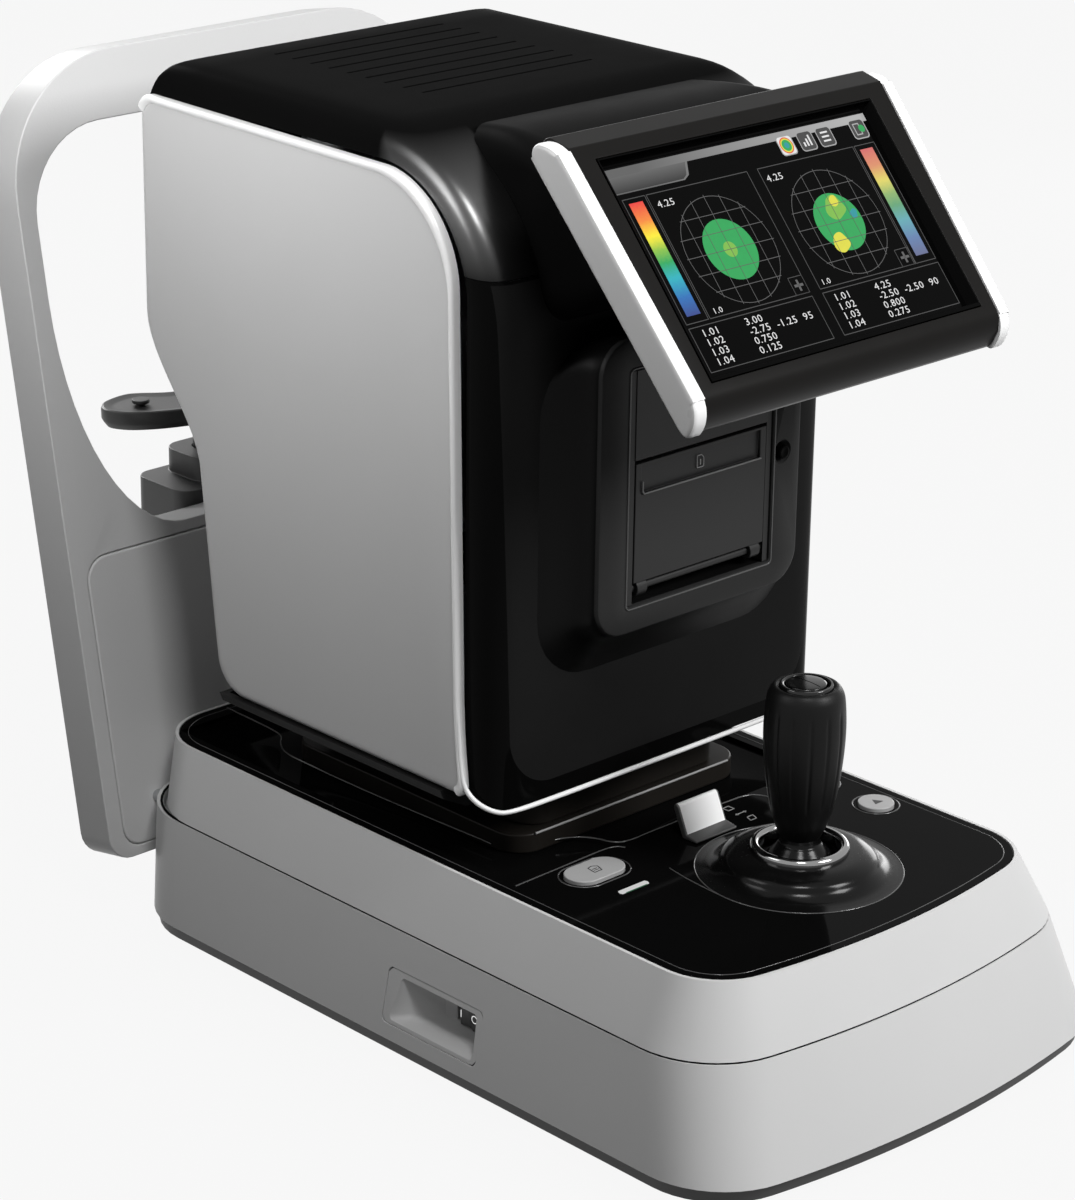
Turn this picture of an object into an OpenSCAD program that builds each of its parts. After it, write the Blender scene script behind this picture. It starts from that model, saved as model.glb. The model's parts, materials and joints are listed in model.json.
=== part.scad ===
// Table-top auto refractor: base, sliding stage with joystick, measuring head with monitor and printer,
// leaning arch and chin rest.
// Millimetres. The operator sits at -Y, the patient at +Y, and z = 0 is the table top.

/* [Base] */
// Width of the base at its lower edge
base_w = 262; // [254:1:270]
// Width of the base at the parting line
waist_w = 242; // [234:1:250]
// Depth of the base along its middle
base_d = 407; // [400:1:414]
// Height of the rubber feet
foot_h = 8; // [6:0.5:10]
// Height of the dark plinth
plinth_h = 7; // [6:0.5:9]
// Height of the lower shell
lower_h = 48.5; // [46:0.5:52]
// Wall of the moulded base and stage shells
shell_wall = 3; // [2.5:0.1:3.5]
// Length of the switch recess
recess_l = 58; // [54:1:62]
// Height of the switch recess
recess_h = 22; // [20:0.5:24]

/* [Stage] */
// Width of the glossy deck at its edge
deck_w = 211; // [205:1:216]
// Height of the upper shell, parting gap to deck
upper_h = 29.5; // [28:0.5:32]
// Dark gap between the lower and upper shells
parting_gap = 1; // [0.8:0.1:1.5]
// Thickness of the deck plate
deck_t = 5; // [4.5:0.1:6]
// Sideways travel of the stage from its middle
stage_travel_x = 43; // [30:1:43]
// Stage travel towards the operator
stage_travel_front = 34; // [20:1:34]
// Stage travel towards the patient
stage_travel_rear = 6; // [4:0.5:6]
// Radius of the guide rails
rail_r = 4; // [3:0.5:5]
// Radial clearance of a running fit
run_fit = 0.05; // [0.03:0.01:0.09]
// Gap left between covers that sit in one another
cover_gap = 0.4; // [0.3:0.05:0.5]

/* [Controls] */
// Radius of the joystick ball
ball_r = 17; // [16:0.5:17.5]
// Radius of the joystick dome at the deck
dome_r = 46; // [44:0.5:48]
// Height of the grip
grip_h = 74; // [70:1:77]
// Largest radius of the grip
grip_r = 18; // [16.5:0.5:19]
// Radius of the round chin rest buttons
chin_button_r = 8.4; // [7:0.2:9]
// Length of the oval print button
print_l = 31; // [27:1:34]
// Width of the oval print button
print_w = 17.4; // [15:0.2:19]
// Travel of the push buttons
press = 1.2; // [0.8:0.1:1.6]
// Width of the lock tab
lock_w = 26; // [22:1:28]

/* [Head] */
// Width of the head over its side panels
head_w = 214; // [208:1:220]
// Height of the head's bottom over the table
head_z = 120; // [119:0.5:122]
// Height of the side panels
panel_h = 284; // [280:1:288]
// Plane of the head's front cover
front_y = -85; // [-87:0.5:-83]
// Plane of the head's patient side
rear_y = 148; // [146:0.5:150]
// Thickness of the side panels
panel_t = 4; // [3.5:0.1:5]
// Rise of the top cover over the side panels
crown = 14; // [12:0.5:16]
// Wall of the top and front covers
cover_wall = 3; // [2.5:0.1:3.5]
// Lift of the head up or down from its middle
lift = 15; // [10:1:15]
// Radius of the lift posts
post_r = 6; // [5:0.5:7]
// Radius of the lift lead screw
lead_r = 5; // [4:0.5:6]
// Number of vent slots in the top cover
vent_n = 9; // [7:1:10]
// Length of each vent slot
vent_l = 102; // [90:1:110]

/* [Printer] */
// Width of the printer door
door_w = 87; // [84:1:92]
// Height of the printer door
door_h = 60; // [57:0.5:62]
// Radius of the paper roll
roll_r = 20; // [17:0.5:21]

/* [Monitor] */
// Width of the monitor over its end caps, at mid height
mon_w = 198; // [192:1:204]
// Height of the monitor face along its slope
mon_h = 114; // [110:1:117]
// Thickness of the monitor
mon_t = 16; // [15:0.5:18]
// Lean of the monitor face from upright
mon_lean = 41; // [39:0.5:43]
// Width of the monitor's frame beside the screen, with the end cap
mon_border = 20.5; // [19.5:0.5:24]
// Height of the visible screen
screen_h = 95; // [88:1:96]
// Width of each end cap
cap_w = 7; // [6:0.5:8]

/* [Patient side] */
// Top of the arch over the table
arch_top = 407; // [400:1:412]
// Lean of the arch from upright
arch_lean = 10.5; // [9.5:0.5:11.5]
// Thickness of the arch
arch_t = 24; // [22:0.5:26]
// Width of the arch beside its opening
arch_side = 10; // [8:0.5:12]
// Height of the lower edge of the arch opening
open_z = 183; // [180:1:188]
// Thickness of the forehead pad
pad_t = 14; // [11:0.5:15]
// Width of the chin tray
tray_w = 116; // [110:1:120]
// Height of the chin tray's top at rest
tray_z = 222; // [220:0.5:224]
// Chin tray travel up from rest
chin_up = 48; // [40:1:50]
// Chin tray travel down from rest
chin_down = 10; // [6:1:10]

/* [Hidden] */

eps = 0.01;
front = -260;                               // foremost point of the base
rear = front + base_d;                      // rear of the base at its lower edge
base_z = foot_h + plinth_h;
waist_z = base_z + lower_h;
stage_z = waist_z + parting_gap;
deck_z = stage_z + upper_h;
slope = tan(arch_lean);
arch_gap = 0.3;
arch_w = base_w;                            // the arch is as wide as the base it stands on
open_w = arch_w - 2 * arch_side;
far = 400;                                  // past every piece, for cuts
stage_gap = 8;                              // stage to arch, over the whole height
bow = 16;                                   // how far the base's front bulges
waist_front = front + 17;
deck_front = front + 30;
corner_r = 42;                              // plan radius of the base's corners

function archY(z) = rear + arch_gap + (z - base_z) * slope;
function archBack(z) = archY(z) + arch_t / cos(arch_lean);
function mix(a, b, t) = a + (b - a) * t;
function smooth(t) = t * t * (3 - 2 * t);

function arc(cx, cy, r, a0, a1, n = 8) =
    [for (i = [0:n]) let (a = mix(a0, a1, i / n)) [cx + r * cos(a), cy + r * sin(a)]];

// Points and their mirror image in the Y axis, in order round the outline
function mirrored(p) = concat(p, [for (i = [len(p) - 1:-1:0]) [-p[i][0], p[i][1]]]);

// Plan outline with a bowed front: width, foremost and rearmost y, corner radius, inset.
// The front is one arc, and each front corner is tangent to it.
function planPoints(w, y0, y1, r, inset) = let (
    h = w / 2, sag = bow * w / base_w, bend = (h * h + sag * sag) / (2 * sag),
    reach = sqrt(pow(bend - r, 2) - pow(h - r, 2)), turn = asin((h - r) / (bend - r)), q = r - inset)
    mirrored(concat(
        arc(0, y0 + bend, bend - inset, -90, turn - 90, 8),
        arc(h - r, y0 + bend - reach, q, turn - 90, 0, 10),
        arc(h - r, y1 - r, q, 0, 90, 10)));

module plan(w, y0, y1, r, inset = 0) {
    polygon(planPoints(w, y0, y1, r, inset));
}

module slab(z, w, y0, y1, r, inset = 0) {
    translate([0, 0, z]) linear_extrude(eps) plan(w, y0, y1, r, inset);
}

module lowerLoft(inset = 0, z0 = base_z, z1 = waist_z) {
    function at(a, b, z) = mix(a, b, (z - base_z) / lower_h);
    hull() for (z = [z0, z1 - eps])
        slab(z, at(base_w, waist_w, z), at(front, waist_front, z), archY(z) - arch_gap, corner_r, inset);
}

module upperLoft(inset = 0, z0 = stage_z, z1 = deck_z) {
    function at(a, b, z) = mix(a, b, (z - stage_z) / upper_h);
    hull() for (z = [z0, z1 - eps])
        slab(z, at(waist_w - 0.6, deck_w, z), at(waist_front + 0.3, deck_front, z), archY(z) - stage_gap,
             at(corner_r, corner_r - 10, z), inset);
}

// A box given by its two corners
module block(a, b) {
    translate(a) cube(b - a);
}

// A box with rounded upright edges, centred on x and y
module pillBox(l, w, h, r) {
    linear_extrude(h) union() {
        square([l - 2 * r, w], center = true);
        square([l, w - 2 * r], center = true);
        for (x = [-1, 1], y = [-1, 1]) translate([x * (l / 2 - r), y * (w / 2 - r)]) circle(r, $fn = 40);
    }
}

module rodX(x0, x1, r) {
    translate([x0, 0, 0]) rotate([0, 90, 0]) cylinder(h = x1 - x0, r = r, $fn = 48);
}

module rodY(y0, y1, r) {
    translate([0, y0, 0]) rotate([-90, 0, 0]) cylinder(h = y1 - y0, r = r, $fn = 48);
}

// ---------------------------------------------------------------- base
plate_z = foot_h + 2.5;                     // underside of the steel chassis plate
plate_t = 2;
floor_z = plate_z + plate_t;                // where the inner parts stand
slide_t = 2;
slide_z = waist_z - 1.5 - slide_t;          // underside of the plate the stage glides over
leg_x = 92;
leg_y = [-212, 95];
neck_w = 24;                                // neck that joins the stage to its carriage
neck_y = 10;                                // middle of the carriage
recess_y = -72;                             // middle of the switch recess
recess_z = base_z + 19.5;
recess_depth = 15;
rocker_l = 20;
rocker_h = 12;
rocker_y = recess_y - recess_l / 2 + 8 + rocker_l / 2;
inlet_y = 60;
inlet_w = 28;
inlet_h = 21;
inlet_z = base_z + 20;
side_x = mix(base_w, waist_w, (recess_z - base_z) / lower_h) / 2;   // half width at the recess

module recessMouth(grow = 0) {
    translate([-base_w / 2 - 5, recess_y, recess_z]) rotate([0, 90, 0])
        pillBox(recess_h + 2 * grow, recess_l + 2 * grow, 60, 3);
}

module inletMouth(grow = 0) {
    translate([base_w / 2 - 40, inlet_y - inlet_w / 2 - grow, inlet_z - inlet_h / 2 - grow])
        cube([60, inlet_w + 2 * grow, inlet_h + 2 * grow]);
}

module base_lower_shell() {
    color("silver") difference() {
        lowerLoft();
        lowerLoft(shell_wall, base_z - 1, waist_z + 1);
        recessMouth(1.5 + cover_gap / 2);
        inletMouth(1.5 + cover_gap / 2);
        boltsAt(bolt_r + cover_gap / 2);
    }
}

module plinthTray() {
    w = base_w - 6;
    color("dimgray") translate([0, 0, foot_h]) difference() {
        linear_extrude(plinth_h) plan(w, front + 3, rear - 2, corner_r - 3);
        translate([0, 0, plate_z - foot_h]) linear_extrude(plinth_h)
            plan(w, front + 3, rear - 2, corner_r - 3, 4);
    }
}

foot_x = 85;
foot_y = [-190, 105];

module rubberFeet() {
    color("black") for (x = [-1, 1], y = foot_y) translate([x * foot_x, y, 0]) {
        cylinder(h = foot_h, r = 14, $fn = 64);
    }
}

module chassisPlate() {
    color("lightgray") {
        translate([0, 0, plate_z]) linear_extrude(plate_t)
            plan(base_w - 6, front + 3, rear - 2, corner_r - 3, 4 + cover_gap);
        for (x = [-1, 1], y = leg_y) translate([x * leg_x, y, floor_z - eps])
            cylinder(h = slide_z - floor_z + eps, r = 6, $fn = 48);
    }
}

slot_x = neck_w / 2 + stage_travel_x + 1;
slot_y0 = neck_y - neck_w / 2 - stage_travel_front - 1;
slot_y1 = neck_y + neck_w / 2 + stage_travel_rear + 1;

module slidePlate() {
    color("dimgray") difference() {
        translate([0, 0, slide_z]) linear_extrude(slide_t)
            plan(waist_w, waist_front, archY(waist_z) - arch_gap - 1, corner_r, shell_wall + cover_gap);
        block([-slot_x, slot_y0, slide_z - 1], [slot_x, slot_y1, slide_z + slide_t + 1]);
    }
}

module plateScrews() {
    color("gray") for (x = [-1, 1], y = leg_y) translate([x * leg_x, y, slide_z + slide_t]) difference() {
        cylinder(h = 0.9, r = 4, $fn = 48);
        translate([0, 0, 0.4]) cylinder(h = 2, r = 1.6, $fn = 6);
    }
}

// Funnel-shaped recess on the left side with the power rocker at its front end
module switch_pocket() {
    back = -side_x + recess_depth;
    color("silver") intersection() {
        lowerLoft(0.3);
        difference() {
            translate([back - 40 + 2, recess_y, recess_z]) rotate([0, 90, 0])
                pillBox(recess_h + 3, recess_l + 3, 40, 4);
            hull() {
                translate([-side_x - 12, recess_y, recess_z]) rotate([0, 90, 0])
                    pillBox(recess_h, recess_l, 8, 3);
                block([back - 1, rocker_y - rocker_l / 2 - 1, recess_z - rocker_h / 2 - 1],
                      [back, rocker_y + rocker_l / 2 + 8, recess_z + rocker_h / 2 + 1]);
            }
            block([back - 5, rocker_y - rocker_l / 2 - cover_gap, recess_z - rocker_h / 2 - cover_gap],
                  [back + 5, rocker_y + rocker_l / 2 + cover_gap, recess_z + rocker_h / 2 + cover_gap]);
        }
    }
}

rocker_x = -side_x + recess_depth;          // face of the pocket's floor
rocker_pin_r = 1.5;
rocker_tilt = 12;                           // degrees between off and on

// Rocker on a pin along Z, so that its two ends tip front to back
module power_rocker() {
    color("black") translate([rocker_x, rocker_y, recess_z]) translate([5, 0, 0]) rotate(-rocker_tilt / 2)
        translate([-5, 0, 0]) difference() {
        intersection() {
            translate([7, 0, -rocker_h / 2]) cylinder(h = rocker_h, r = 11, $fn = 96);
            block([-4, -rocker_l / 2 + 1.6, -rocker_h / 2], [10, rocker_l / 2 - 1.6, rocker_h / 2]);
        }
        translate([-11, 0, -rocker_h]) cylinder(h = 2 * rocker_h, r = 9, $fn = 96);
        translate([5, 0, -rocker_h]) cylinder(h = 2 * rocker_h, r = rocker_pin_r + run_fit, $fn = 48);
    }
}

module switchBody() {
    x0 = rocker_x + 2.1;
    color("dimgray") {
        difference() {
            block([x0, rocker_y - rocker_l / 2 - 2, recess_z - rocker_h / 2 - 2],
                  [x0 + 18, rocker_y + rocker_l / 2 + 2, recess_z + rocker_h / 2 + 2]);
            block([x0 - 1, rocker_y - rocker_l / 2, recess_z - rocker_h / 2 - 0.4],
                  [x0 + 12, rocker_y + rocker_l / 2, recess_z + rocker_h / 2 + 0.4]);
        }
        translate([rocker_x + 5, rocker_y, recess_z - rocker_h / 2 - 1])
            cylinder(h = rocker_h + 2, r = rocker_pin_r, $fn = 48);
    }
}

module power_inlet() {
    x1 = side_x - 1.5;
    color("black") {
        difference() {
            intersection() {
                block([x1 - 24, inlet_y - inlet_w / 2 - 1.5, inlet_z - inlet_h / 2 - 1.5],
                      [x1 + 10, inlet_y + inlet_w / 2 + 1.5, inlet_z + inlet_h / 2 + 1.5]);
                lowerLoft(0.3);
            }
            block([x1 - 18, inlet_y - inlet_w / 2 + 1.5, inlet_z - inlet_h / 2 + 1.5],
                  [x1 + 20, inlet_y + inlet_w / 2 - 1.5, inlet_z + inlet_h / 2 - 1.5]);
        }
    }
    color("gold") for (p = [[-7, -1.5], [0, 2.5], [7, -1.5]])
        translate([0, inlet_y + p[0], inlet_z + p[1]]) block([x1 - 18.5, -1, -2], [x1 - 4, 1, 2]);
}

module powerSupply() {
    color("lightgray") block([50, -195, floor_z], [105, -105, floor_z + 26]);
}

module mainBoard() {
    color("green") {
        block([-116, -25, floor_z + 4], [-86, 75, floor_z + 5.6]);
        for (y = [-19, 69]) translate([-101, y, floor_z]) cylinder(h = 4, r = 3, $fn = 32);
        block([-110, 5, floor_z + 5.6], [-94, 35, floor_z + 9]);
    }
}

// ---------------------------------------------------------------- stage
rail_y_z = floor_z + 14;                    // height of the fore-aft rails
rail_x_z = rail_y_z + 17;                   // height of the left-right rails
rail_y_x = 50;
rail_x_y = 18;
carriage_y = 28;                            // half length of the carriages
end_t = 8;
rail_y0 = neck_y - carriage_y - stage_travel_front - 1;
rail_y1 = neck_y + carriage_y + stage_travel_rear + 1;
slider_x = 22;                              // half length of the left-right slider
rail_x1 = slider_x + stage_travel_x + 1;
deck_low = 2.5;                             // depth of the sunken part of the deck
deck_inset = shell_wall - 1;
deck_bottom = deck_z - deck_t;
stage_plate_z = stage_z + 1;
stage_plate_t = 2.5;
stage_floor = stage_plate_z + stage_plate_t;

module yRails() {
    color("gainsboro") for (s = [-1, 1]) translate([s * rail_y_x, 0, rail_y_z])
        rodY(rail_y0 - end_t + 1, rail_y1 + end_t - 1, rail_r);
}

module railEnds() {
    color("gray") for (s = [-1, 1], y = [rail_y0 - end_t, rail_y1]) difference() {
        block([s * rail_y_x - 9, y, floor_z], [s * rail_y_x + 9, y + end_t, rail_y_z + 8]);
        translate([s * rail_y_x, 0, rail_y_z]) rodY(y - 1, y + end_t + 1, rail_r);
    }
}

module yCarriage() {
    color("silver") difference() {
        union() {
            block([-rail_x1 - end_t, neck_y - carriage_y, rail_y_z - 7],
                  [rail_x1 + end_t, neck_y + carriage_y, rail_y_z + 7]);
            for (s = [-1, 1]) block([s > 0 ? rail_x1 : -rail_x1 - end_t, neck_y - carriage_y, rail_y_z + 6],
                                    [s > 0 ? rail_x1 + end_t : -rail_x1, neck_y + carriage_y, rail_x_z + 7]);
        }
        for (s = [-1, 1]) translate([s * rail_y_x, 0, rail_y_z])
            rodY(neck_y - carriage_y - 1, neck_y + carriage_y + 1, rail_r + run_fit);
        for (s = [-1, 1]) translate([0, neck_y + s * rail_x_y, rail_x_z])
            rodX(-rail_x1 - end_t - 1, rail_x1 + end_t + 1, rail_r);
    }
}

module xRails() {
    color("gainsboro") for (s = [-1, 1]) translate([0, neck_y + s * rail_x_y, rail_x_z])
        rodX(-rail_x1 - end_t + 1, rail_x1 + end_t - 1, rail_r);
}

module x_carriage() {
    color("silver") difference() {
        union() {
            block([-slider_x, neck_y - carriage_y + 2, rail_x_z - 6],
                  [slider_x, neck_y + carriage_y - 2, rail_x_z + 6]);
            block([-neck_w / 2, neck_y - neck_w / 2, rail_x_z],
                  [neck_w / 2, neck_y + neck_w / 2, stage_plate_z]);
        }
        for (s = [-1, 1]) translate([0, neck_y + s * rail_x_y, rail_x_z])
            rodX(-slider_x - 1, slider_x + 1, rail_r + run_fit);
    }
}

module stagePlate() {
    color("lightgray") translate([0, 0, stage_plate_z]) linear_extrude(stage_plate_t)
        plan(waist_w - 4, waist_front + 2, archY(stage_z) - stage_gap - 2, corner_r - 2, shell_wall + 1);
}

module base_upper_shell() {
    color("silver") difference() {
        upperLoft();
        upperLoft(shell_wall, stage_z - 1, deck_z - 4 - deck_t);
        deckOutline(cover_gap, deck_z - 20, 40);
    }
}

// Outline of the deck plate, grown by g
module deckOutline(g, z, h) {
    translate([0, 0, z]) linear_extrude(h)
        plan(deck_w, deck_front, archY(deck_z) - stage_gap, corner_r - 10, deck_inset - g);
}

joy = [10, -161];                           // joystick axis
joy_z = 92;                                 // pivot of the joystick
ring_z = 105;                               // top of the bright ring
print_at = [45.5 - deck_w / 2, -104];
chin_at = [[deck_w / 2 - 18.5, -138], [deck_w / 2 - 20.5, -103.5]];
light_at = [print_at[0] + 2, -127];
light_l = 13;
lock_at = [7, -107];
lock_travel = 10;
step_y = -90;                               // step from the control area down to the stage area
deck_hole_r = 40;
well_w = deck_w - 21;                       // sunken part of the deck
block_w = 145;                              // stepped black block under the head
block_y = [-68, 88];
block_h = 9.5;
column_w = 122;
column_y = [-64, 78];
lens_z = 352;                               // measuring axis
col_y = 10;                                 // lift column axis
post_x = 36;

module printShape(g = 0) {
    hull() for (s = [-1, 1]) translate([print_at[0] + s * (print_l - print_w) / 2, print_at[1]])
        circle(print_w / 2 + g, $fn = 48);
}

module chinShape(i, g = 0) {
    translate(chin_at[i]) circle(chin_button_r + g, $fn = 64);
}

module lightShape(g = 0) {
    translate(light_at) square([light_l + 2 * g, 2.6 + 2 * g], center = true);
}

module deck_plate() {
    color("black") difference() {
        deckOutline(0, deck_bottom, deck_t);
        block([-well_w / 2, step_y, deck_z - deck_low],
              [well_w / 2, archY(deck_z) - stage_gap - 12, deck_z + 1]);
        translate([0, 0, deck_bottom - 1]) linear_extrude(deck_t + 2) {
            printShape(cover_gap);
            chinShape(0, cover_gap);
            chinShape(1, cover_gap);
            lightShape();
            translate([lock_at[0] - 5 - cover_gap, lock_at[1] - 2 - cover_gap])
                square([10 + lock_travel + 2 * cover_gap, 4 + 2 * cover_gap]);
            translate(joy) circle(deck_hole_r, $fn = 96);
            translate([0, (column_y[0] + column_y[1]) / 2])
                square([column_w - 20, column_y[1] - column_y[0] - 20], center = true);
        }
    }
}

module deckPosts() {
    color("gray") for (p = [[-80, -170], [80, -175], [-80, 100], [80, 100]])
        translate([p[0], p[1], stage_floor]) cylinder(h = deck_bottom - stage_floor, r = 4, $fn = 48);
}

// A push button's cap, its stem through the deck and the flange that keeps it there
module pushButton(rise = 1.6) {
    flange_h = 1;
    translate([0, 0, deck_bottom - 0.3 - flange_h]) linear_extrude(flange_h) offset(1.4) children();
    translate([0, 0, deck_bottom - 0.3 - eps]) linear_extrude(deck_t + 0.3 + rise) children();
}

module print_button() {
    color("darkgray") pushButton() printShape();
}

module chin_up_button() {
    color("darkgray") pushButton() chinShape(0);
}

module chin_down_button() {
    color("darkgray") pushButton() chinShape(1);
}

module statusLight() {
    color("white") translate([0, 0, deck_bottom]) linear_extrude(deck_t + 0.3) lightShape();
}

module controlBoards() {
    top = deck_bottom - 1.3 - press - 0.4;
    color("green") {
        block([print_at[0] - 25, -120, top - 3.6], [print_at[0] + 20, -90, top - 2]);
        block([chin_at[0][0] - 15, -152, top - 3.6], [chin_at[0][0] + 13, -91, top - 2]);
        for (p = [print_at, chin_at[0], chin_at[1]]) translate([p[0], p[1], top - 2])
            cylinder(h = 2, r = 2.5, $fn = 32);
        for (p = [[print_at[0] - 20, -115], [print_at[0] + 15, -95], [chin_at[0][0] - 11, -125],
                  [chin_at[0][0] + 10, -125]]) translate([p[0], p[1], stage_floor])
            cylinder(h = top - 3.6 - stage_floor, r = 2, $fn = 32);
    }
}

// Side line of the lock tab as [y, z] over the deck: a foot and a leaning plate
lock_line = [[-7, 0], [2, 0], [8, 13.2], [7.6, 14.7], [6.2, 15], [5, 14.2], [-0.4, 2.2], [-7, 1]];

module lock_tab() {
    color("white") {
        translate([lock_at[0] - 5, lock_at[1] - 2, deck_bottom - 2]) cube([10, 4, deck_t + 2.4]);
        translate([lock_at[0] - lock_w / 2, lock_at[1], deck_z + 0.3]) rotate([90, 0, 90])
            linear_extrude(lock_w) polygon(lock_line);
        translate([lock_at[0] - 7, lock_at[1] - 4, deck_bottom - 3]) cube([14, 8, 2]);
    }
}

// ---------------------------------------------------------------- joystick
yoke_in = ball_r + 0.4;
yoke_out = yoke_in + 4.6;
yoke_h = 8;
pin_r = 2;
ear_in = yoke_out + 4;
ring_r = 20.5;

module atJoy(z = 0) {
    translate([joy[0], joy[1], z]) children();
}

module joystick_dome() {
    color("black") atJoy() rotate_extrude($fn = 96) polygon(concat(
        [[dome_r, deck_z], [dome_r - 1, deck_z + 1.2]],
        [for (i = [1:8]) let (t = i / 8)
            [mix(dome_r - 1, ring_r + 1.5, t), mix(deck_z + 1.2, ring_z - 1, sin(90 * t))]],
        [[ring_r + 1.5, ring_z - 3.4]],
        [for (i = [7:-1:0]) let (t = i / 8)
            [mix(dome_r - 4, ring_r + 1.5, t), mix(deck_z, ring_z - 3.4, sin(90 * t))]]));
}

module joystick_ring() {
    color("gainsboro") atJoy() rotate_extrude($fn = 96) union() {
        translate([ball_r + 0.8, ring_z - 4]) square([ring_r + 1.5 - ball_r - 0.8, 4]);
        translate([(ball_r + 0.8 + ring_r + 1.5) / 2, ring_z]) circle((ring_r + 0.7 - ball_r) / 2, $fn = 24);
    }
}

module gimbal_socket() {
    color("gray") atJoy() difference() {
        union() {
            translate([0, 0, deck_bottom - 5]) cylinder(h = 5, r = deck_hole_r + 4, $fn = 96);
            for (s = [-1, 1]) block([s * (ear_in + 4) - 4, -5, deck_bottom - 5],
                                    [s * (ear_in + 4) + 4, 5, joy_z + 3.4]);
        }
        translate([0, 0, deck_bottom - 6]) cylinder(h = 30, r = ear_in, $fn = 96);
        translate([0, 0, joy_z]) rodX(-50, 50, pin_r + run_fit);
    }
    color("gray") atJoy() for (a = [45, 135, 225, 315]) rotate(a) translate([deck_hole_r - 4, 0, stage_floor])
        cylinder(h = deck_bottom - 5 - stage_floor, r = 3, $fn = 32);
}

module gimbal_yoke() {
    color("silver") atJoy(joy_z) {
        difference() {
            translate([0, 0, -yoke_h / 2]) cylinder(h = yoke_h, r = yoke_out, $fn = 96);
            translate([0, 0, -yoke_h]) cylinder(h = 2 * yoke_h, r = yoke_in, $fn = 96);
            rodY(-yoke_out - 1, yoke_out + 1, pin_r + run_fit);
        }
        rodX(yoke_out - 0.5, ear_in + 7, pin_r);
        rodX(-ear_in - 7, -yoke_out + 0.5, pin_r);
    }
}

grip_z = joy_z + 16;                        // lower end of the grip
shaft_r = 5;
// Side line of the grip, as shares of its radius and height
grip_line = [[0.56, 0.06], [0.68, 0.13], [0.8, 0.24], [0.9, 0.38], [0.97, 0.53], [1, 0.68], [0.99, 0.8],
             [0.95, 0.91], [0.88, 0.965]];

module stick_ball() {
    color("black") atJoy(joy_z) {
        sphere(r = ball_r, $fn = 96);
        rodY(-yoke_out, -ball_r + 2, pin_r);
        rodY(ball_r - 2, yoke_out, pin_r);
        translate([0, 0, -19]) cylinder(h = 10, r = 4, $fn = 48);
        cylinder(h = grip_z - joy_z + grip_h - 16, r = shaft_r, $fn = 64);
    }
}

module rubber_grip() {
    color("black") atJoy() difference() {
        rotate_extrude($fn = 96) polygon(concat([[shaft_r + run_fit, grip_z + 2], [grip_r * 0.5, grip_z + 2]],
            [for (p = grip_line) [grip_r * p[0], grip_z + grip_h * p[1]]],
            [[grip_r * 0.72, grip_z + grip_h - 1], [grip_r * 0.66, grip_z + grip_h - 1],
             [grip_r * 0.66, grip_z + grip_h - 8], [shaft_r + run_fit, grip_z + grip_h - 8]]));
    }
}

cap_r = grip_r * 0.66;

module grip_cap() {
    color("dimgray") atJoy(grip_z + grip_h - 8) difference() {
        cylinder(h = 8, r = cap_r, $fn = 96);
        translate([0, 0, 1.6]) cylinder(h = 10, r = cap_r - 2.5, $fn = 96);
    }
}

module measure_button() {
    color("black") atJoy(grip_z + grip_h - 6.4 + press + 0.3) cylinder(h = 5.8, r = cap_r - 2.9, $fn = 96);
}

// ---------------------------------------------------------------- covers of the stage and the lift column
module stage_block() {
    color("black") difference() {
        translate([0, (block_y[0] + block_y[1]) / 2, deck_z - deck_low])
            pillBox(block_w, block_y[1] - block_y[0], block_h, 14);
        translate([0, (column_y[0] + column_y[1]) / 2, deck_z - deck_low - 1])
            pillBox(column_w - 8, column_y[1] - column_y[0] - 8, block_h + 2, 8);
    }
}

column_top = head_z + 18;

module column_shroud() {
    z0 = deck_z - deck_low + block_h;
    color("black") translate([0, (column_y[0] + column_y[1]) / 2, z0]) difference() {
        pillBox(column_w, column_y[1] - column_y[0], column_top - z0, 12);
        translate([0, 0, -1])
            pillBox(column_w - 5, column_y[1] - column_y[0] - 5, column_top - z0 + 2, 9.5);
    }
}

hub_z = column_top + lift + 2;              // underside of the head's chassis
hub_t = 4;
bush_h = 36;
post_top = hub_z + bush_h + lift + 12;
motor_z = 14;                               // lift motor over the stage floor

module liftPosts() {
    color("gainsboro") for (s = [-1, 1]) translate([s * post_x, col_y, stage_floor])
        cylinder(h = post_top - stage_floor, r = post_r, $fn = 64);
}

module liftMotor() {
    color("dimgray") {
        translate([0, col_y, stage_floor + motor_z]) difference() {
            pillBox(34, 34, 26, 4);
            translate([0, 0, 6]) cylinder(h = 26, r = lead_r + run_fit, $fn = 64);
        }
        translate([-21, col_y - 21, stage_floor]) cube([42, 42, 3]);
        for (x = [-1, 1], y = [-1, 1]) translate([x * 14, col_y + y * 14, stage_floor + 3])
            cylinder(h = motor_z - 3, r = 2.5, $fn = 32);
    }
}

screw_z0 = stage_floor + motor_z + 6.3;

module lift_screw() {
    color("lightgray") translate([0, col_y, screw_z0])
        cylinder(h = post_top - 8 - screw_z0, r = lead_r, $fn = 64);
}

// ---------------------------------------------------------------- head
panel_top = head_z + panel_h;
panel_z = head_z + 11;                      // lower edge of the side panels
split_z = panel_top - 41;                   // joint between top cover and front cover
side_front = front_y + 20;                  // front edge of the side panels
cover_back = front_y + 39;                  // rear edge of the front cover
waist_top = panel_top - 100;                // the rear outline draws in between these heights
waist_low = panel_top - 170;
waist_y = rear_y - 37;
heel_y = rear_y - 47;

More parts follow.
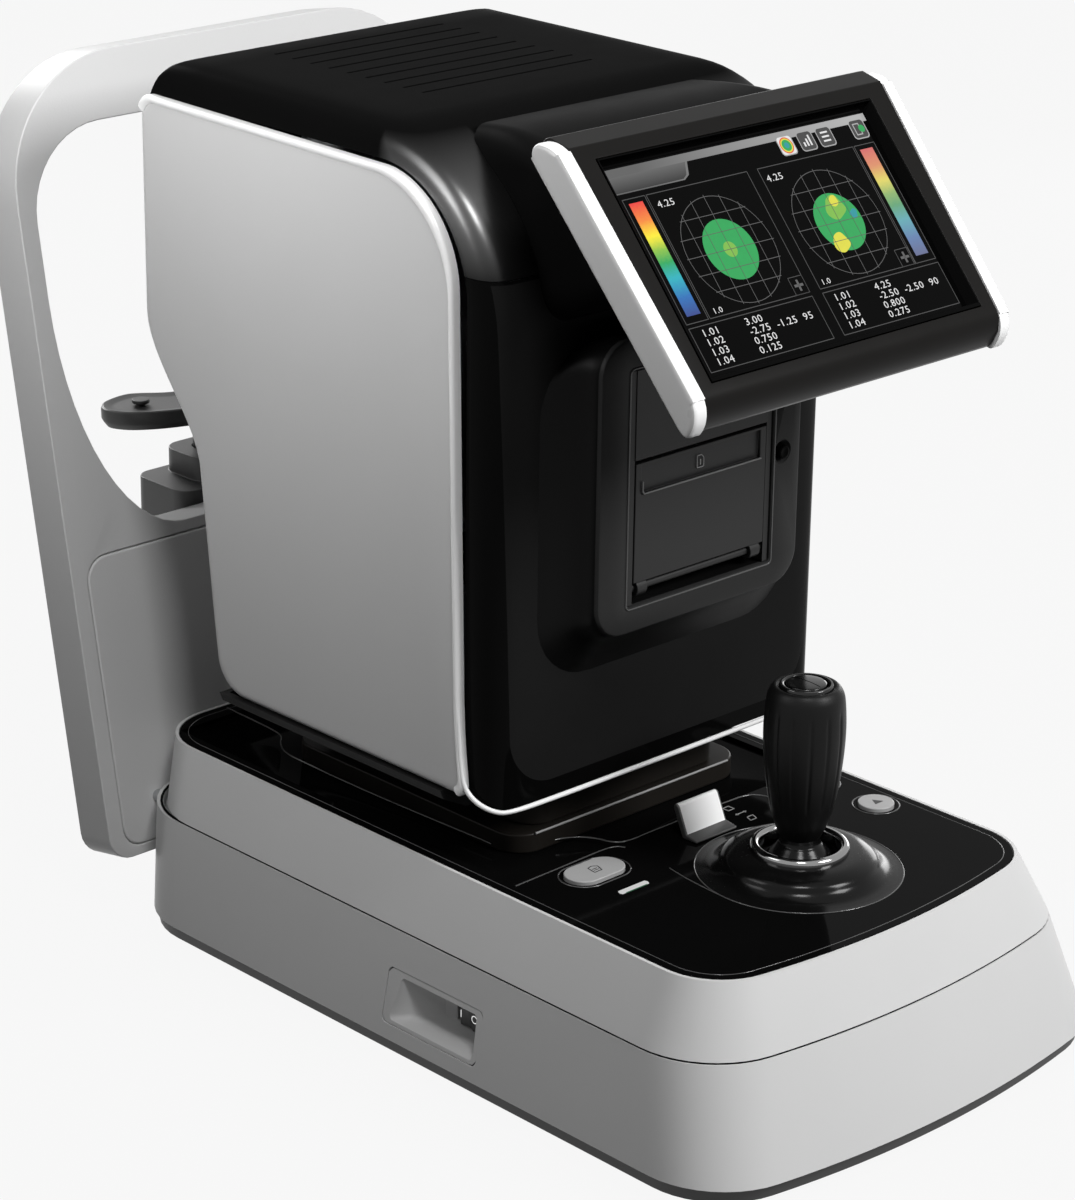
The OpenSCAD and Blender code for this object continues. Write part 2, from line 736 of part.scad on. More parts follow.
// Side outline of the head as [y, z], drawn in by d
function headSide(d = 0) = let (
    f = side_front + d, t = panel_top - d, b = panel_z + d, r = rear_y - d, w = waist_y - d, h = heel_y - d)
    concat(arc(f + 16, b + 16, 16, 180, 270), arc(h - 18, b + 18, 18, 270, 350),
        [for (i = [0:8]) let (u = i / 8) [mix(w, r, smooth(u)), mix(waist_low, waist_top, u)]],
        arc(r - 8, t - 8, 8, 0, 90), arc(f + 52, t - 4 - 46, 48, 95, 180, 12));

module headPlate(x0, x1, d = 0) {
    translate([x0, 0, 0]) rotate([90, 0, 90]) linear_extrude(x1 - x0) polygon(headSide(d));
}

rim_w = 3.4;

module sidePanel(s) {
    x = head_w / 2;
    mirror([s < 0 ? 1 : 0, 0, 0]) headPlate(x - panel_t + 0.6, x, rim_w);
}

module sideRim(s) {
    x = head_w / 2;
    mirror([s < 0 ? 1 : 0, 0, 0]) difference() {
        headPlate(x - panel_t, x + 0.6, 0);
        headPlate(x - panel_t - 1, x + 2, rim_w);
    }
}

module left_panel() {
    color("silver") sidePanel(-1);
}

module right_panel() {
    color("silver") sidePanel(1);
}

// Upper and front form of the black shell, as cross sections from the middle outwards
shell_x = head_w / 2 - panel_t - 0.4;
sections = [[0, 1], [0.6, 0.99], [0.92, 0.93], [0.965, 0.82], [0.985, 0.58], [1, 0]];
cover_low = head_z + 7.2;                   // lower edge of the front cover

function shellSide(k, d) = let (
    f = mix(side_front - 0.5, front_y, k) + d, t = mix(panel_top - 0.5, panel_top + crown, k) - d,
    r = mix(54, 80, k), b = cover_low + d)
    concat([[f, b]], [[rear_y - 3 - d, b]], [[rear_y - 3 - d, t - 1 - 4 * k]], [[rear_y - 8 - 8 * k - d, t]],
        arc(f + r - d, t - r + d, r - d, 90, 180, 12));

module blackShell(d = 0, dx = 0) {
    hull() for (q = sections, s = [-1, 1]) {
        x = s * (q[0] * (shell_x - dx));
        translate([x, 0, 0]) rotate([90, 0, 90]) translate([0, 0, s > 0 ? -eps : 0])
            linear_extrude(eps) polygon(shellSide(q[1], d));
    }
}

slot_pitch = 12.4;
slot_y = 119;                               // rearmost slot

module top_cover() {
    color("black") difference() {
        intersection() {
            blackShell();
            block([-far, -far, split_z + 0.3], [far, far, 2 * far]);
        }
        blackShell(cover_wall, cover_wall);
        for (i = [0:vent_n - 1]) block([-vent_l / 2, slot_y - i * slot_pitch - 0.9, panel_top],
                                       [vent_l / 2, slot_y - i * slot_pitch + 0.9, panel_top + 60]);
        translate([0, 0, lens_z]) rodY(rear_y - 20, rear_y + 10, lens_r + cover_gap);
    }
}

bay_z = head_z + 94;                        // lower edge of the printer bay
bay_w = door_w + 1.6;
console_y = front_y - 20;                   // face of the printer console
bay_h = 106;

// Front view of the cover, with its lower corners rounded
module coverFront() {
    translate([0, cover_back, 0]) rotate([90, 0, 0]) linear_extrude(far) polygon(mirrored(concat(
        arc(shell_x - 26, cover_low + 26, 26, -90, 0),
        [[shell_x + 1, cover_low + 60], [shell_x + 1, split_z]])));
}

module front_cover() {
    color("black") difference() {
        intersection() {
            blackShell();
            coverFront();
        }
        blackShell(cover_wall, cover_wall);
        block([-bay_w / 2, -far, bay_z], [bay_w / 2, far, bay_z + bay_h]);
        block([-far, side_front - 1, 0], [far, far, panel_z]);
    }
}

// Hole in the head's underside for the column
module columnHole() {
    translate([0, (column_y[0] + column_y[1]) / 2, head_z - 1])
        pillBox(column_w + 3, column_y[1] - column_y[0] + 3, 30, 13.5);
}

// Light grey pan that closes the head from below
module head_pan() {
    y1 = heel_y - 4;
    module level(z, x, f, r) {
        translate([0, 0, z]) linear_extrude(eps) polygon([[-x, f], [x, f], [x, r], [-x, r]]);
    }
    color("silver") difference() {
        hull() {
            level(panel_z - 0.4 - eps, head_w / 2, side_front + 10, y1);
            level(panel_z - 5, head_w / 2 - 2, side_front + 10, y1);
            level(head_z, head_w / 2 - 14, side_front + 8, y1 - 8);
        }
        hull() {
            level(panel_z + 1, head_w / 2 - 3, side_front + 13, y1 - 3);
            level(panel_z - 5, head_w / 2 - 5, side_front + 13, y1 - 3);
            level(head_z + 3, head_w / 2 - 16, side_front + 11, y1 - 11);
        }
        columnHole();
    }
}

trim_t = 2.6;

// Bright strip that closes the head under its front cover and meets the side rims
module frontTrim() {
    x = shell_x - 20;
    y1 = side_front + 7.5;
    color("white") {
        difference() {
            translate([0, 0, cover_low - 0.2 - trim_t]) linear_extrude(trim_t)
                polygon(mirrored(concat([[0, front_y - 0.5]], arc(x, front_y + 15.5, 16, -90, -25),
                    [[head_w / 2 - 1, side_front + 2], [head_w / 2 - 1, y1], [0, y1]])));
            columnHole();
        }
        for (s = [-1, 1]) translate([s * (head_w / 2 - 2.5), 0, 0])
            block([-1.5, side_front + 2, cover_low - trim_t], [1.5, y1, panel_z + 2.4]);
    }
}

// Strip of the head's rear outline, from its heel up to the top cover
module patient_cover() {
    x = shell_x - 0.3;
    t = 3;
    function back(u, d) = [mix(waist_y, rear_y, smooth(u)) - d, mix(waist_low, waist_top, u)];
    color("dimgray") difference() {
        translate([-x, 0, 0]) rotate([90, 0, 90]) linear_extrude(2 * x) polygon(concat(
            [[heel_y - 4, panel_z + 14]], [for (i = [0:12]) back(i / 12, 0)], [[rear_y, split_z - 0.4]],
            [[rear_y - t, split_z - 0.4]], [for (i = [12:-1:0]) back(i / 12, t)],
            [[heel_y - 4 - t, panel_z + 14]]));
        translate([0, 0, lens_z]) rodY(rear_y - 20, rear_y + 10, lens_r + cover_gap);
    }
}

lens_r = 27;                                // outer radius of the window ring

module windowRing() {
    color("gray") translate([0, 0, lens_z]) difference() {
        rodY(rear_y - 6, rear_y + 3, lens_r);
        rodY(rear_y - 4, rear_y + 4, lens_r - 5);
        rodY(rear_y - 10, rear_y + 4, lens_r - 7);
    }
}

module windowGlass() {
    color("lightblue") translate([0, 0, lens_z]) rodY(rear_y - 3.9, rear_y - 1.5, lens_r - 5 - 0.05);
}

module lensTube() {
    color("dimgray") translate([0, 0, lens_z]) difference() {
        rodY(rear_y - 70, rear_y - 6, lens_r - 5);
        rodY(rear_y - 71, rear_y - 5, lens_r - 7.5);
    }
}

module mireRing() {
    color("white") translate([0, 0, lens_z]) difference() {
        rodY(rear_y - 22, rear_y - 18, lens_r - 7.5 - 0.02);
        rodY(rear_y - 23, rear_y - 17, lens_r - 13);
    }
}

module objectiveLens() {
    color("lightblue") translate([0, 0, lens_z]) rodY(rear_y - 66, rear_y - 60, lens_r - 7.5 - 0.02);
}

optics_y = [-10, rear_y - 70];
optics_z = [lens_z - 32, lens_z + 32];

module opticsBlock() {
    color("gray") difference() {
        block([-42, optics_y[0], optics_z[0]], [42, optics_y[1], optics_z[1]]);
        translate([0, 0, lens_z]) rodY(optics_y[1] - 30, optics_y[1] + 1, lens_r - 9);
    }
    color("gray") for (x = [-17.5, 17.5], y = [optics_y[0] + 8, optics_y[1] - 8])
        translate([x, y, hub_z + hub_t]) cylinder(h = optics_z[0] - hub_z - hub_t, r = 5, $fn = 48);
}

module sensorCamera() {
    color("black") {
        block([-16, optics_y[0] - 14, lens_z - 16], [16, optics_y[0], lens_z + 16]);
        translate([0, 0, lens_z]) rodY(optics_y[0] - 22, optics_y[0] - 14, 9);
    }
}

module headChassis() {
    color("lightgray") difference() {
        union() {
            block([-shell_x + 1, cover_back + 0.5, hub_z], [shell_x - 1, heel_y - 8, hub_z + hub_t]);
            for (s = [-1, 1]) translate([s * post_x, col_y, hub_z])
                cylinder(h = bush_h, r = post_r + 5, $fn = 64);
            translate([0, col_y, hub_z]) cylinder(h = bush_h * 0.6, r = lead_r + 5, $fn = 64);
        }
        for (s = [-1, 1]) translate([s * post_x, col_y, hub_z - 1])
            cylinder(h = bush_h + 2, r = post_r + run_fit, $fn = 64);
        translate([0, col_y, hub_z - 1]) cylinder(h = bush_h + 2, r = lead_r + run_fit, $fn = 64);
    }
}

module panelBrackets() {
    color("silver") for (s = [-1, 1], y = [-30, 60])
        block([s > 0 ? shell_x - 12 : -shell_x - 0.3, y, hub_z + hub_t],
              [s > 0 ? shell_x + 0.3 : -shell_x + 12, y + 16, hub_z + hub_t + 30]);
}

module headBoard() {
    color("green") {
        block([60, -30, hub_z + hub_t + 8], [61.6, 90, hub_z + hub_t + 110]);
        for (y = [-22, 82]) block([58, y - 4, hub_z + hub_t], [60, y + 4, hub_z + hub_t + 30]);
        block([61.6, 10, hub_z + 60], [66, 45, hub_z + 90]);
    }
}

// ---------------------------------------------------------------- monitor
mon_c = [0, console_y - 47, 383];           // middle of the monitor's face
screen_w = mon_w - 2 * mon_border;          // width of the visible screen
mon_taper = 7;                              // how much wider the monitor is at its top than at its foot
screen_u = -1.8;                            // middle of the screen over that of the face
hinge_u = 58;                               // hinge height over that middle, along the face
hinge_v = mon_t + 6;                        // hinge distance behind the face
hinge_r = 3;

module onMonitor() {
    translate(mon_c) rotate([-mon_lean, 0, 0]) children();
}

// Side outline of the monitor as [depth, height], drawn in by d
function monSide(d = 0) = let (h = mon_h / 2)
    concat([[d, -h + d * 0.5], [d, h - d]], arc(mon_t - 6 - d * 0.2, h + 5 - d, 5, 130, 20, 4),
        [[mon_t - d, h - 6], [mon_t - d, -h + 2]],
        arc(mon_t - 3, -h - 3, 8 - d, -10, -100, 4), [[5, -h - 8 + d], [1.5, -h - 4 + d]]);

module monPlate(x0, x1, d = 0) {
    translate([x0, 0, 0]) rotate([90, 0, 90]) linear_extrude(x1 - x0) polygon(monSide(d));
}

// Front outline of the monitor, wider at its top; inset leaves out the end caps
module monFront(inset = 0) {
    h = mon_h / 2 + 12;
    rise = mon_taper / 2 * h / mon_h;
    translate([0, 2 * mon_t, 0]) rotate([90, 0, 0]) linear_extrude(3 * mon_t)
        polygon(mirrored([[mon_w / 2 - rise - inset, -h], [mon_w / 2 + rise - inset, h]]));
}

module monitor_case() {
    color("black") onMonitor() {
        difference() {
            intersection() {
                monPlate(-mon_w, mon_w, 0.6);
                monFront(cap_w + 0.1);
            }
            translate([0, 0, screen_u]) block([-screen_w / 2 - 4, -1, -screen_h / 2 - 4],
                                              [screen_w / 2 + 4, mon_t - 3, screen_h / 2 + 4]);
        }
        for (s = [-1, 1]) difference() {
            union() {
                translate([s * 36 - 4, 0, 0]) block([0, mon_t - 1, hinge_u - 7], [8, hinge_v, hinge_u + 5]);
                translate([0, hinge_v, hinge_u]) rodX(s * 36 - 4, s * 36 + 4, 6);
            }
            translate([0, hinge_v, hinge_u]) rodX(s * 36 - 5, s * 36 + 5, hinge_r + run_fit);
        }
    }
}

module monitor_bezel() {
    w = screen_w / 2;
    h = screen_h / 2;
    m = 4 - cover_gap;
    color("black") onMonitor() translate([0, 0, screen_u]) difference() {
        block([-w - m, 0.4, -h - m], [w + m, 5, h + m]);
        hull() {
            block([-w, 4, -h], [w, 6, h]);
            block([-w - 3, 0, -h - 2], [w + 3, 0.5, h + 3]);
        }
    }
}

module screen_panel() {
    color("darkslategray") onMonitor() translate([0, 0, screen_u])
        block([-screen_w / 2 - 3, 5, -screen_h / 2 - 3], [screen_w / 2 + 3, mon_t - 3.1, screen_h / 2 + 3]);
}

module capShape(s) {
    mirror([s < 0 ? 1 : 0, 0, 0]) onMonitor() difference() {
        intersection() {
            monPlate(0, mon_w);
            monFront();
        }
        monFront(cap_w);
    }
}

cowl_w = 154;                               // the cowl where it leaves the head

// Cowl that carries the monitor in front of the head
module hoodShape() {
    wide = mon_w / 2 - 12;
    hull() {
        translate([0, front_y + 2, 0]) rotate([90, 0, 0]) linear_extrude(2)
            polygon(mirrored(concat(arc(cowl_w / 2 - 20, split_z - 2, 20, -90, 0),
                                    [[cowl_w / 2, panel_top - 14]])));
        block([8 - cowl_w / 2, front_y + 30, panel_top + 2],
              [cowl_w / 2 - 8, front_y + 54, panel_top + crown + 0.4]);
        onMonitor() {
            translate([-wide, mon_t + 12, hinge_u - 2]) rodX(0, 2 * wide, 5);
            translate([10 - wide, mon_t + 8, hinge_u - 24]) rodX(0, 2 * wide - 20, 4);
            translate([16 - wide, mon_t + 8, 2]) rodX(0, 2 * wide - 32, 4);
        }
    }
}

module monitorCowl() {
    color("black") difference() {
        hoodShape();
        blackShell(-0.05, -0.05);
        onMonitor() {
            for (s = [-1, 1]) block([s * 36 - 4.6, -20, hinge_u - 16],
                                    [s * 36 + 4.6, hinge_v + 8.5, hinge_u + 30]);
            block([-mon_w, -20, hinge_u - 19], [mon_w, mon_t + 3.2, hinge_u + 40]);
        }
        hingeBore(hinge_r);
    }
}

module hingeBore(r) {
    onMonitor() translate([0, hinge_v, hinge_u]) rodX(-52, 52, r);
}

module hingePin() {
    color("gainsboro") hingeBore(hinge_r);
}

// ---------------------------------------------------------------- printer
module printerFace(w, z0, z1, y, r) {
    translate([0, y, (z0 + z1) / 2]) rotate([90, 0, 0]) linear_extrude(eps) union() {
        square([w - 2 * r, z1 - z0], center = true);
        square([w, z1 - z0 - 2 * r], center = true);
        for (a = [-1, 1], b = [-1, 1]) translate([a * (w / 2 - r), b * ((z1 - z0) / 2 - r)])
            circle(r, $fn = 32);
    }
}

console_w = bay_w + 23;
console_top = bay_z + bay_h + 15;
console_wall = 3;
button_at = [bay_w / 2 + 6.2, bay_z + 50];
button_r = 3.2;

// The console swells from the front cover to its flat face; d draws it in
module consoleForm(d) {
    hull() {
        printerFace(console_w - 2 * d, bay_z - 12 + d, console_top - d, console_y + 0.02 + d, 16);
        printerFace(console_w + 4 - 2 * d, bay_z - 18 + d, console_top - d, console_y + 6 + d, 18);
        printerFace(console_w + 32 - 2 * d, bay_z - 34 + d, console_top - 5 - d, front_y - 0.2, 30);
    }
}

module printer_console() {
    color("black") difference() {
        consoleForm(0);
        translate([0, 0.3, 0]) consoleForm(console_wall);
        block([-bay_w / 2, -far, bay_z], [bay_w / 2, 0, bay_z + bay_h]);
        translate([button_at[0], 0, button_at[1]]) rodY(-far, console_y + 10, button_r + cover_gap);
        translate([button_at[0], 0, button_at[1]]) rodY(console_y - 5, console_y + 1.5, button_r + 1.7);
    }
}

door_t = 3;
door_z = bay_z + 4;
door_hinge = [console_y + 4, door_z + 3];
frame_y1 = console_y + 54;

module printerFrame() {
    w = bay_w / 2 - cover_gap;
    color("dimgray") {
        for (s = [-1, 1]) difference() {
            block([s > 0 ? w - 3 : -w, console_y + 1, bay_z + 0.4],
                  [s > 0 ? w : -w + 3, frame_y1, bay_z + bay_h - 0.4]);
            translate([0, door_hinge[0], door_hinge[1]]) rodX(-100, 100, pin_r);
            translate([0, roll_at[0], roll_at[1]]) rodX(-100, 100, spindle_r + run_fit);
            translate([0, platen_at[0], platen_at[1]]) rodX(-100, 100, platen_pin_r + run_fit);
        }
        block([-w + 3, frame_y1 - 3, bay_z + 0.4], [w - 3, frame_y1, bay_z + bay_h - 0.4]);
        block([-w + 3, door_hinge[0] + 8, bay_z + 0.4], [w - 3, frame_y1 - 3, bay_z + 2.4]);
    }
}

module printerLid() {
    w = bay_w / 2 - cover_gap;
    color("dimgray") block([-w + 3.1, console_y + 0.6, door_z + door_h + 1.6],
                           [w - 3.1, console_y + 3.6, bay_z + bay_h - 0.4]);
}

inner_w = door_w / 2 - 3.2;
roll_at = [console_y + 28, bay_z + 31];
spindle_r = 3;
platen_at = [console_y + 12, bay_z + 76];
platen_pin_r = 2;
platen_r = 6;

module printer_door() {
    color("dimgray") difference() {
        union() {
            block([-inner_w, console_y + 0.6, door_z + 6],
                  [inner_w, console_y + 0.6 + door_t, door_z + door_h]);
            for (s = [-1, 1]) block([s * (inner_w - 5) - 3, console_y + 0.6 + door_t - 1, door_z + 6],
                                    [s * (inner_w - 5) + 3, door_hinge[0] + 2.6, door_z + 12]);
            for (s = [-1, 1]) translate([s * (inner_w - 5), door_hinge[0], door_hinge[1]]) rodX(-3, 3, 4);
            for (s = [-1, 1]) block([s * (inner_w - 5) - 3, door_hinge[0] - 2.6, door_hinge[1]],
                                    [s * (inner_w - 5) + 3, door_hinge[0] + 2.6, door_z + 8]);
        }
        translate([0, door_hinge[0], door_hinge[1]]) rodX(-100, 100, pin_r + run_fit);
        block([-inner_w + 3.5, console_y - 1, door_z + door_h - 14],
              [inner_w - 3.5, console_y + 2.2, door_z + door_h - 1.2]);
    }
}

module doorPin() {
    w = bay_w / 2 - cover_gap;
    color("gainsboro") translate([0, door_hinge[0], door_hinge[1]]) rodX(-w, w, pin_r);
}

module paperRoll() {
    color("white") translate([0, roll_at[0], roll_at[1]]) difference() {
        rodX(-28.5, 28.5, roll_r);
        rodX(-30, 30, spindle_r + 3);
    }
}

module rollSpindle() {
    w = bay_w / 2 - cover_gap;
    color("dimgray") translate([0, roll_at[0], roll_at[1]]) {
        rodX(-w + 0.5, w - 0.5, spindle_r);
        difference() {
            rodX(-28, 28, spindle_r + 3);
            rodX(-29, 29, spindle_r - 0.5);
        }
    }
}

module platen_roller() {
    w = bay_w / 2 - cover_gap;
    color("black") translate([0, platen_at[0], platen_at[1]]) {
        rodX(-w + 0.5, w - 0.5, platen_pin_r);
        rodX(-29, 29, platen_r);
    }
}

module thermalHead() {
    w = bay_w / 2 - cover_gap;
    color("silver") block([-w + 3, platen_at[0] + platen_r + 0.3, platen_at[1] - 8],
                          [w - 3, platen_at[0] + platen_r + 6, platen_at[1] + 14]);
}

module open_button() {
    color("black") translate([button_at[0], 0, button_at[1]]) {
        rodY(console_y - 1.6, console_y + 9, button_r);
    }
}

module openSwitch() {
    w = bay_w / 2 - cover_gap;
    color("gray") block([w, console_y + 10.6, button_at[1] - 6],
                        [button_at[0] + 5, front_y - 0.6, button_at[1] + 6]);
}

// ---------------------------------------------------------------- patient side
arch_cz = base_z;                           // the arch leans about this height
function up(z) = (z - arch_cz) / cos(arch_lean);   // distance along the arch's face for a height

module onArch() {
    translate([0, archY(arch_cz), arch_cz]) rotate([90 - arch_lean, 0, 0]) mirror([0, 0, 1]) children();
}

arch_bottom = base_z + 17;
arch_r = 64;

// Outer outline of the arch in its own plane, right half then left half
function archOuter() = mirrored(concat(
    arc(arch_w / 2 - 12, up(arch_bottom) + 12, 12, -90, 0, 6),
    arc(arch_w / 2 - arch_r, up(arch_top) - arch_r, arch_r, 0, 90, 14)));

arch_head = 32;                             // height of the arch over its opening
saddle = [61, 118];                         // width and height of the opening's lower curves

// The opening: straight at the top, drawn in by quarter ellipses towards its lower edge
function archOpening() = let (w = open_w / 2, zt = up(arch_top - arch_head), zb = up(open_z))
    mirrored(concat(
        [for (i = [0:14]) let (a = 90 * i / 14)
            [w - saddle[0] * (1 - sin(a)), zb + saddle[1] * (1 - cos(a))]],
        arc(w - 42, zt - 42, 42, 0, 90, 10)));

skirt_top = open_z - 6;
skirt_t = 2.5;

module skirtShape(g = 0) {
    w = arch_w / 2 - 9 + g;
    z0 = up(arch_bottom + 5) - g;
    z1 = up(skirt_top) + g;
    hull() for (s = [-1, 1]) {
        translate([s * (w - 12), z1 - 12]) circle(12, $fn = 32);
        translate([s * (w - 10), z0 + 10]) circle(10, $fn = 32);
    }
}

module arch_frame() {
    color("gainsboro") onArch() difference() {
        linear_extrude(arch_t) difference() {
            polygon(archOuter());
            polygon(archOpening());
        }
        translate([0, 0, -1]) linear_extrude(1 + skirt_t + 0.1) skirtShape(0.3);
    }
}

module skirt_cover() {
    color("gainsboro") onArch() linear_extrude(skirt_t) skirtShape();
}

housing_w = 84;
stem_w = 30;
housing_top = open_z + 2;
stem_y = archY(housing_top) + 46;

// Dark housing of the chin rest, upright behind the arch's saddle
house_y0 = archBack(housing_top) + 0.3;
bracket_t = 6;
house_y1 = stem_y + 19;

module chinHousing() {
    z0 = arch_bottom + 30;
    cy = (house_y0 + house_y1) / 2;
    color("dimgray") difference() {
        union() {
            translate([0, cy, z0]) pillBox(housing_w, house_y1 - house_y0, housing_top - z0, 9);
            translate([0, stem_y, housing_top - 1]) pillBox(52, 34, 13, 10);
        }
        translate([0, stem_y, z0 + 3]) pillBox(stem_w + 6, 25, 400, 5);
    }
    color("dimgray") difference() {
        translate([0, stem_y, housing_top + 4]) pillBox(stem_w + 6, 25, 8, 5);
        translate([0, stem_y, housing_top]) pillBox(stem_w + 0.8, 18.8, 60, 6.4);
    }
}

module chinBracket() {
    z = [arch_bottom + 34, arch_bottom + 124];
    x = (housing_w + bracket_t) / 2;
    color("silver") for (s = [-1, 1]) translate([s * x - bracket_t / 2, 0, 0]) rotate([90, 0, 90])
        linear_extrude(bracket_t) polygon([[archBack(z[0]), z[0]], [house_y0 + 9, z[0]], [house_y0 + 9, z[1]],
                                           [archBack(z[1]), z[1]]]);
}

chin_lead = 3;
stem_z0 = housing_top - 74 - chin_down;     // foot of the chin tray's stem
chin_screw_z0 = arch_bottom + 55;

module chinMotor() {
    color("gray") translate([0, stem_y, arch_bottom + 33]) difference() {
        union() {
            pillBox(22, 22, chin_screw_z0 - arch_bottom - 33 + 4, 3);
        }
        translate([0, 0, chin_screw_z0 - arch_bottom - 33])
            cylinder(h = 20, r = chin_lead + run_fit, $fn = 48);
    }
}

module chin_screw() {
    color("lightgray") translate([0, stem_y, chin_screw_z0 + 0.3])
        cylinder(h = stem_z0 + 22 + chin_up - chin_screw_z0, r = chin_lead, $fn = 48);
}

module chinStem() {
    color("gray") difference() {
        translate([0, stem_y, stem_z0]) pillBox(stem_w, 18, tray_z - 8 - stem_z0, 6);
        translate([0, stem_y, stem_z0 - 1]) cylinder(h = 140, r = chin_lead + run_fit, $fn = 48);
        translate([0, stem_y, stem_z0 + 20]) cylinder(h = 110, r = chin_lead + 2, $fn = 48);
    }
}

tray_y0 = 213;
tray_y1 = 258;

module trayShape() {
    difference() {
        hull() {
            for (s = [-1, 1]) {
                translate([s * (tray_w / 2 - 10), tray_y0 + 18]) circle(10, $fn = 48);
                translate([s * (tray_w / 2 - 12), tray_y1 - 12]) circle(12, $fn = 48);
                translate([s * (tray_w / 2 - 28), tray_y1 - 2]) circle(2, $fn = 24);
            }
            translate([0, tray_y0 + 60]) circle(60, $fn = 96);
        }
        translate([0, tray_y1 + 22]) circle(38, $fn = 96);
        translate([-100, tray_y1]) square([200, 100]);
    }
}

module chinTray() {
    color("dimgray") difference() {
        translate([0, 0, tray_z - 8]) linear_extrude(8) trayShape();
        for (s = [-1, 1]) translate([s * (tray_w / 2 - 19), tray_y0 + 27, tray_z - 5])
            cylinder(h = 9, r = 2.5, $fn = 48);
    }
}

module paper_pins() {
    color("dimgray") for (s = [-1, 1]) translate([s * (tray_w / 2 - 19), tray_y0 + 27, tray_z - 5]) {
        cylinder(h = 6, r = 2.5, $fn = 48);
        translate([0, 0, 5.3]) cylinder(h = 2, r = 4.4, $fn = 48);
    }
}

pad_z = arch_top - 16;
pad_w = 110;

module padCarrier() {
    color("dimgray") onArch() translate([0, up(pad_z), arch_t + eps]) linear_extrude(3)
        pillFlat(pad_w - 16, 22, 8);
}

module pillFlat(l, w, r) {
    union() {
        square([l - 2 * r, w], center = true);
        square([l, w - 2 * r], center = true);
        for (x = [-1, 1], y = [-1, 1]) translate([x * (l / 2 - r), y * (w / 2 - r)]) circle(r, $fn = 40);
    }
}

module forehead_pad() {
    color("black") onArch() translate([0, up(pad_z), arch_t + 3.3]) linear_extrude(pad_t)
        pillFlat(pad_w, 28, 12);
}

bolt_r = 3;

// Bolts that hold the arch to the rear wall of the base
module boltsAt(r) {
    for (s = [-1, 1], z = [arch_bottom + 8, waist_z - 6]) translate([s * 100, archY(z), z])
        rotate([-arch_lean, 0, 0]) rodY(-shell_wall - 2.5, -0.1, r);
}

module archBolts() {
    color("gray") boltsAt(bolt_r);
}

// ---------------------------------------------------------------- sub-parts made of several pieces
module plinth() {
    plinthTray();
    rubberFeet();
}

module chassis_plate() {
    chassisPlate();
    railEnds();
    yRails();
}

module slide_plate() {
    slidePlate();
    plateScrews();
}

module base_electronics() {
    powerSupply();
    mainBoard();
    switchBody();
}

module y_carriage() {
    yCarriage();
    xRails();
}

module stage_plate() {
    stagePlate();
    deckPosts();
}

module control_board() {
    controlBoards();
    statusLight();
}

module lift_column() {
    liftPosts();
    liftMotor();
}

module side_rims() {
    color("white") sideRim(-1);
    color("white") sideRim(1);
    frontTrim();
}

module lens_barrel() {
    windowRing();
    lensTube();
    mireRing();
}

module lenses() {
    windowGlass();
    objectiveLens();
}

module optics_block() {
    opticsBlock();
    sensorCamera();
}

module head_chassis() {
    headChassis();
    panelBrackets();
    headBoard();
}

module end_caps() {
    color("silver") capShape(-1);
    color("silver") capShape(1);
}

module monitor_hood() {
    monitorCowl();
    hingePin();
}

module printer_frame() {
    printerFrame();
    printerLid();
    doorPin();
    thermalHead();
    openSwitch();
}

module paper_roll() {
    paperRoll();
    rollSpindle();
}

module arch_fixings() {
    chinBracket();
    archBolts();
    padCarrier();
}

module chin_housing() {
    chinHousing();
    chinMotor();
}

module chin_tray() {
    chinTray();
    chinStem();
}

base_lower_shell();
plinth();
chassis_plate();
slide_plate();
switch_pocket();
power_rocker();
power_inlet();
base_electronics();
y_carriage();
x_carriage();
stage_plate();
base_upper_shell();
deck_plate();
print_button();
chin_up_button();
chin_down_button();
control_board();
lock_tab();
joystick_dome();
joystick_ring();
gimbal_socket();
gimbal_yoke();
stick_ball();
rubber_grip();
grip_cap();
measure_button();
stage_block();
column_shroud();
lift_column();
lift_screw();
left_panel();
right_panel();
side_rims();
top_cover();
front_cover();
head_pan();
patient_cover();
lens_barrel();
lenses();
optics_block();
head_chassis();
monitor_case();
monitor_bezel();
screen_panel();
end_caps();
monitor_hood();
printer_console();
printer_frame();
printer_door();
paper_roll();
platen_roller();
open_button();
arch_frame();
skirt_cover();
arch_fixings();
chin_housing();
chin_screw();
chin_tray();
paper_pins();
forehead_pad();
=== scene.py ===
import bmesh
import bpy
import json
import math
from mathutils import Matrix, Vector


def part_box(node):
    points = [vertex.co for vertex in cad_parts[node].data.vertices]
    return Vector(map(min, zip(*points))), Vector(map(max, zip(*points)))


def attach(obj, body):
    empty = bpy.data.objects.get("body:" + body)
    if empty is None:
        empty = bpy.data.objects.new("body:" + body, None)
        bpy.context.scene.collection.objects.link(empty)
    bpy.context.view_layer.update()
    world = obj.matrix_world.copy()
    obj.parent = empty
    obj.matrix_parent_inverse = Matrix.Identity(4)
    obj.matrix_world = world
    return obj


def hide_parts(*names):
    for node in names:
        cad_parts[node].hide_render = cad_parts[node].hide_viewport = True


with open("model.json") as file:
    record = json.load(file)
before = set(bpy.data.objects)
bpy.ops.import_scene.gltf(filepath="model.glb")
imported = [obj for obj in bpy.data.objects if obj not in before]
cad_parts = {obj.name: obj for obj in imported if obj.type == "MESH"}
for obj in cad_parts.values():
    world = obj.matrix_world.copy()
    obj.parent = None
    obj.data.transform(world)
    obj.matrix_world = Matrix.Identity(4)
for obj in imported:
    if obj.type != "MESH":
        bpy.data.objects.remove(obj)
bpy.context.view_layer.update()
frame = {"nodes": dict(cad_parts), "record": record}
nodes = frame["nodes"]
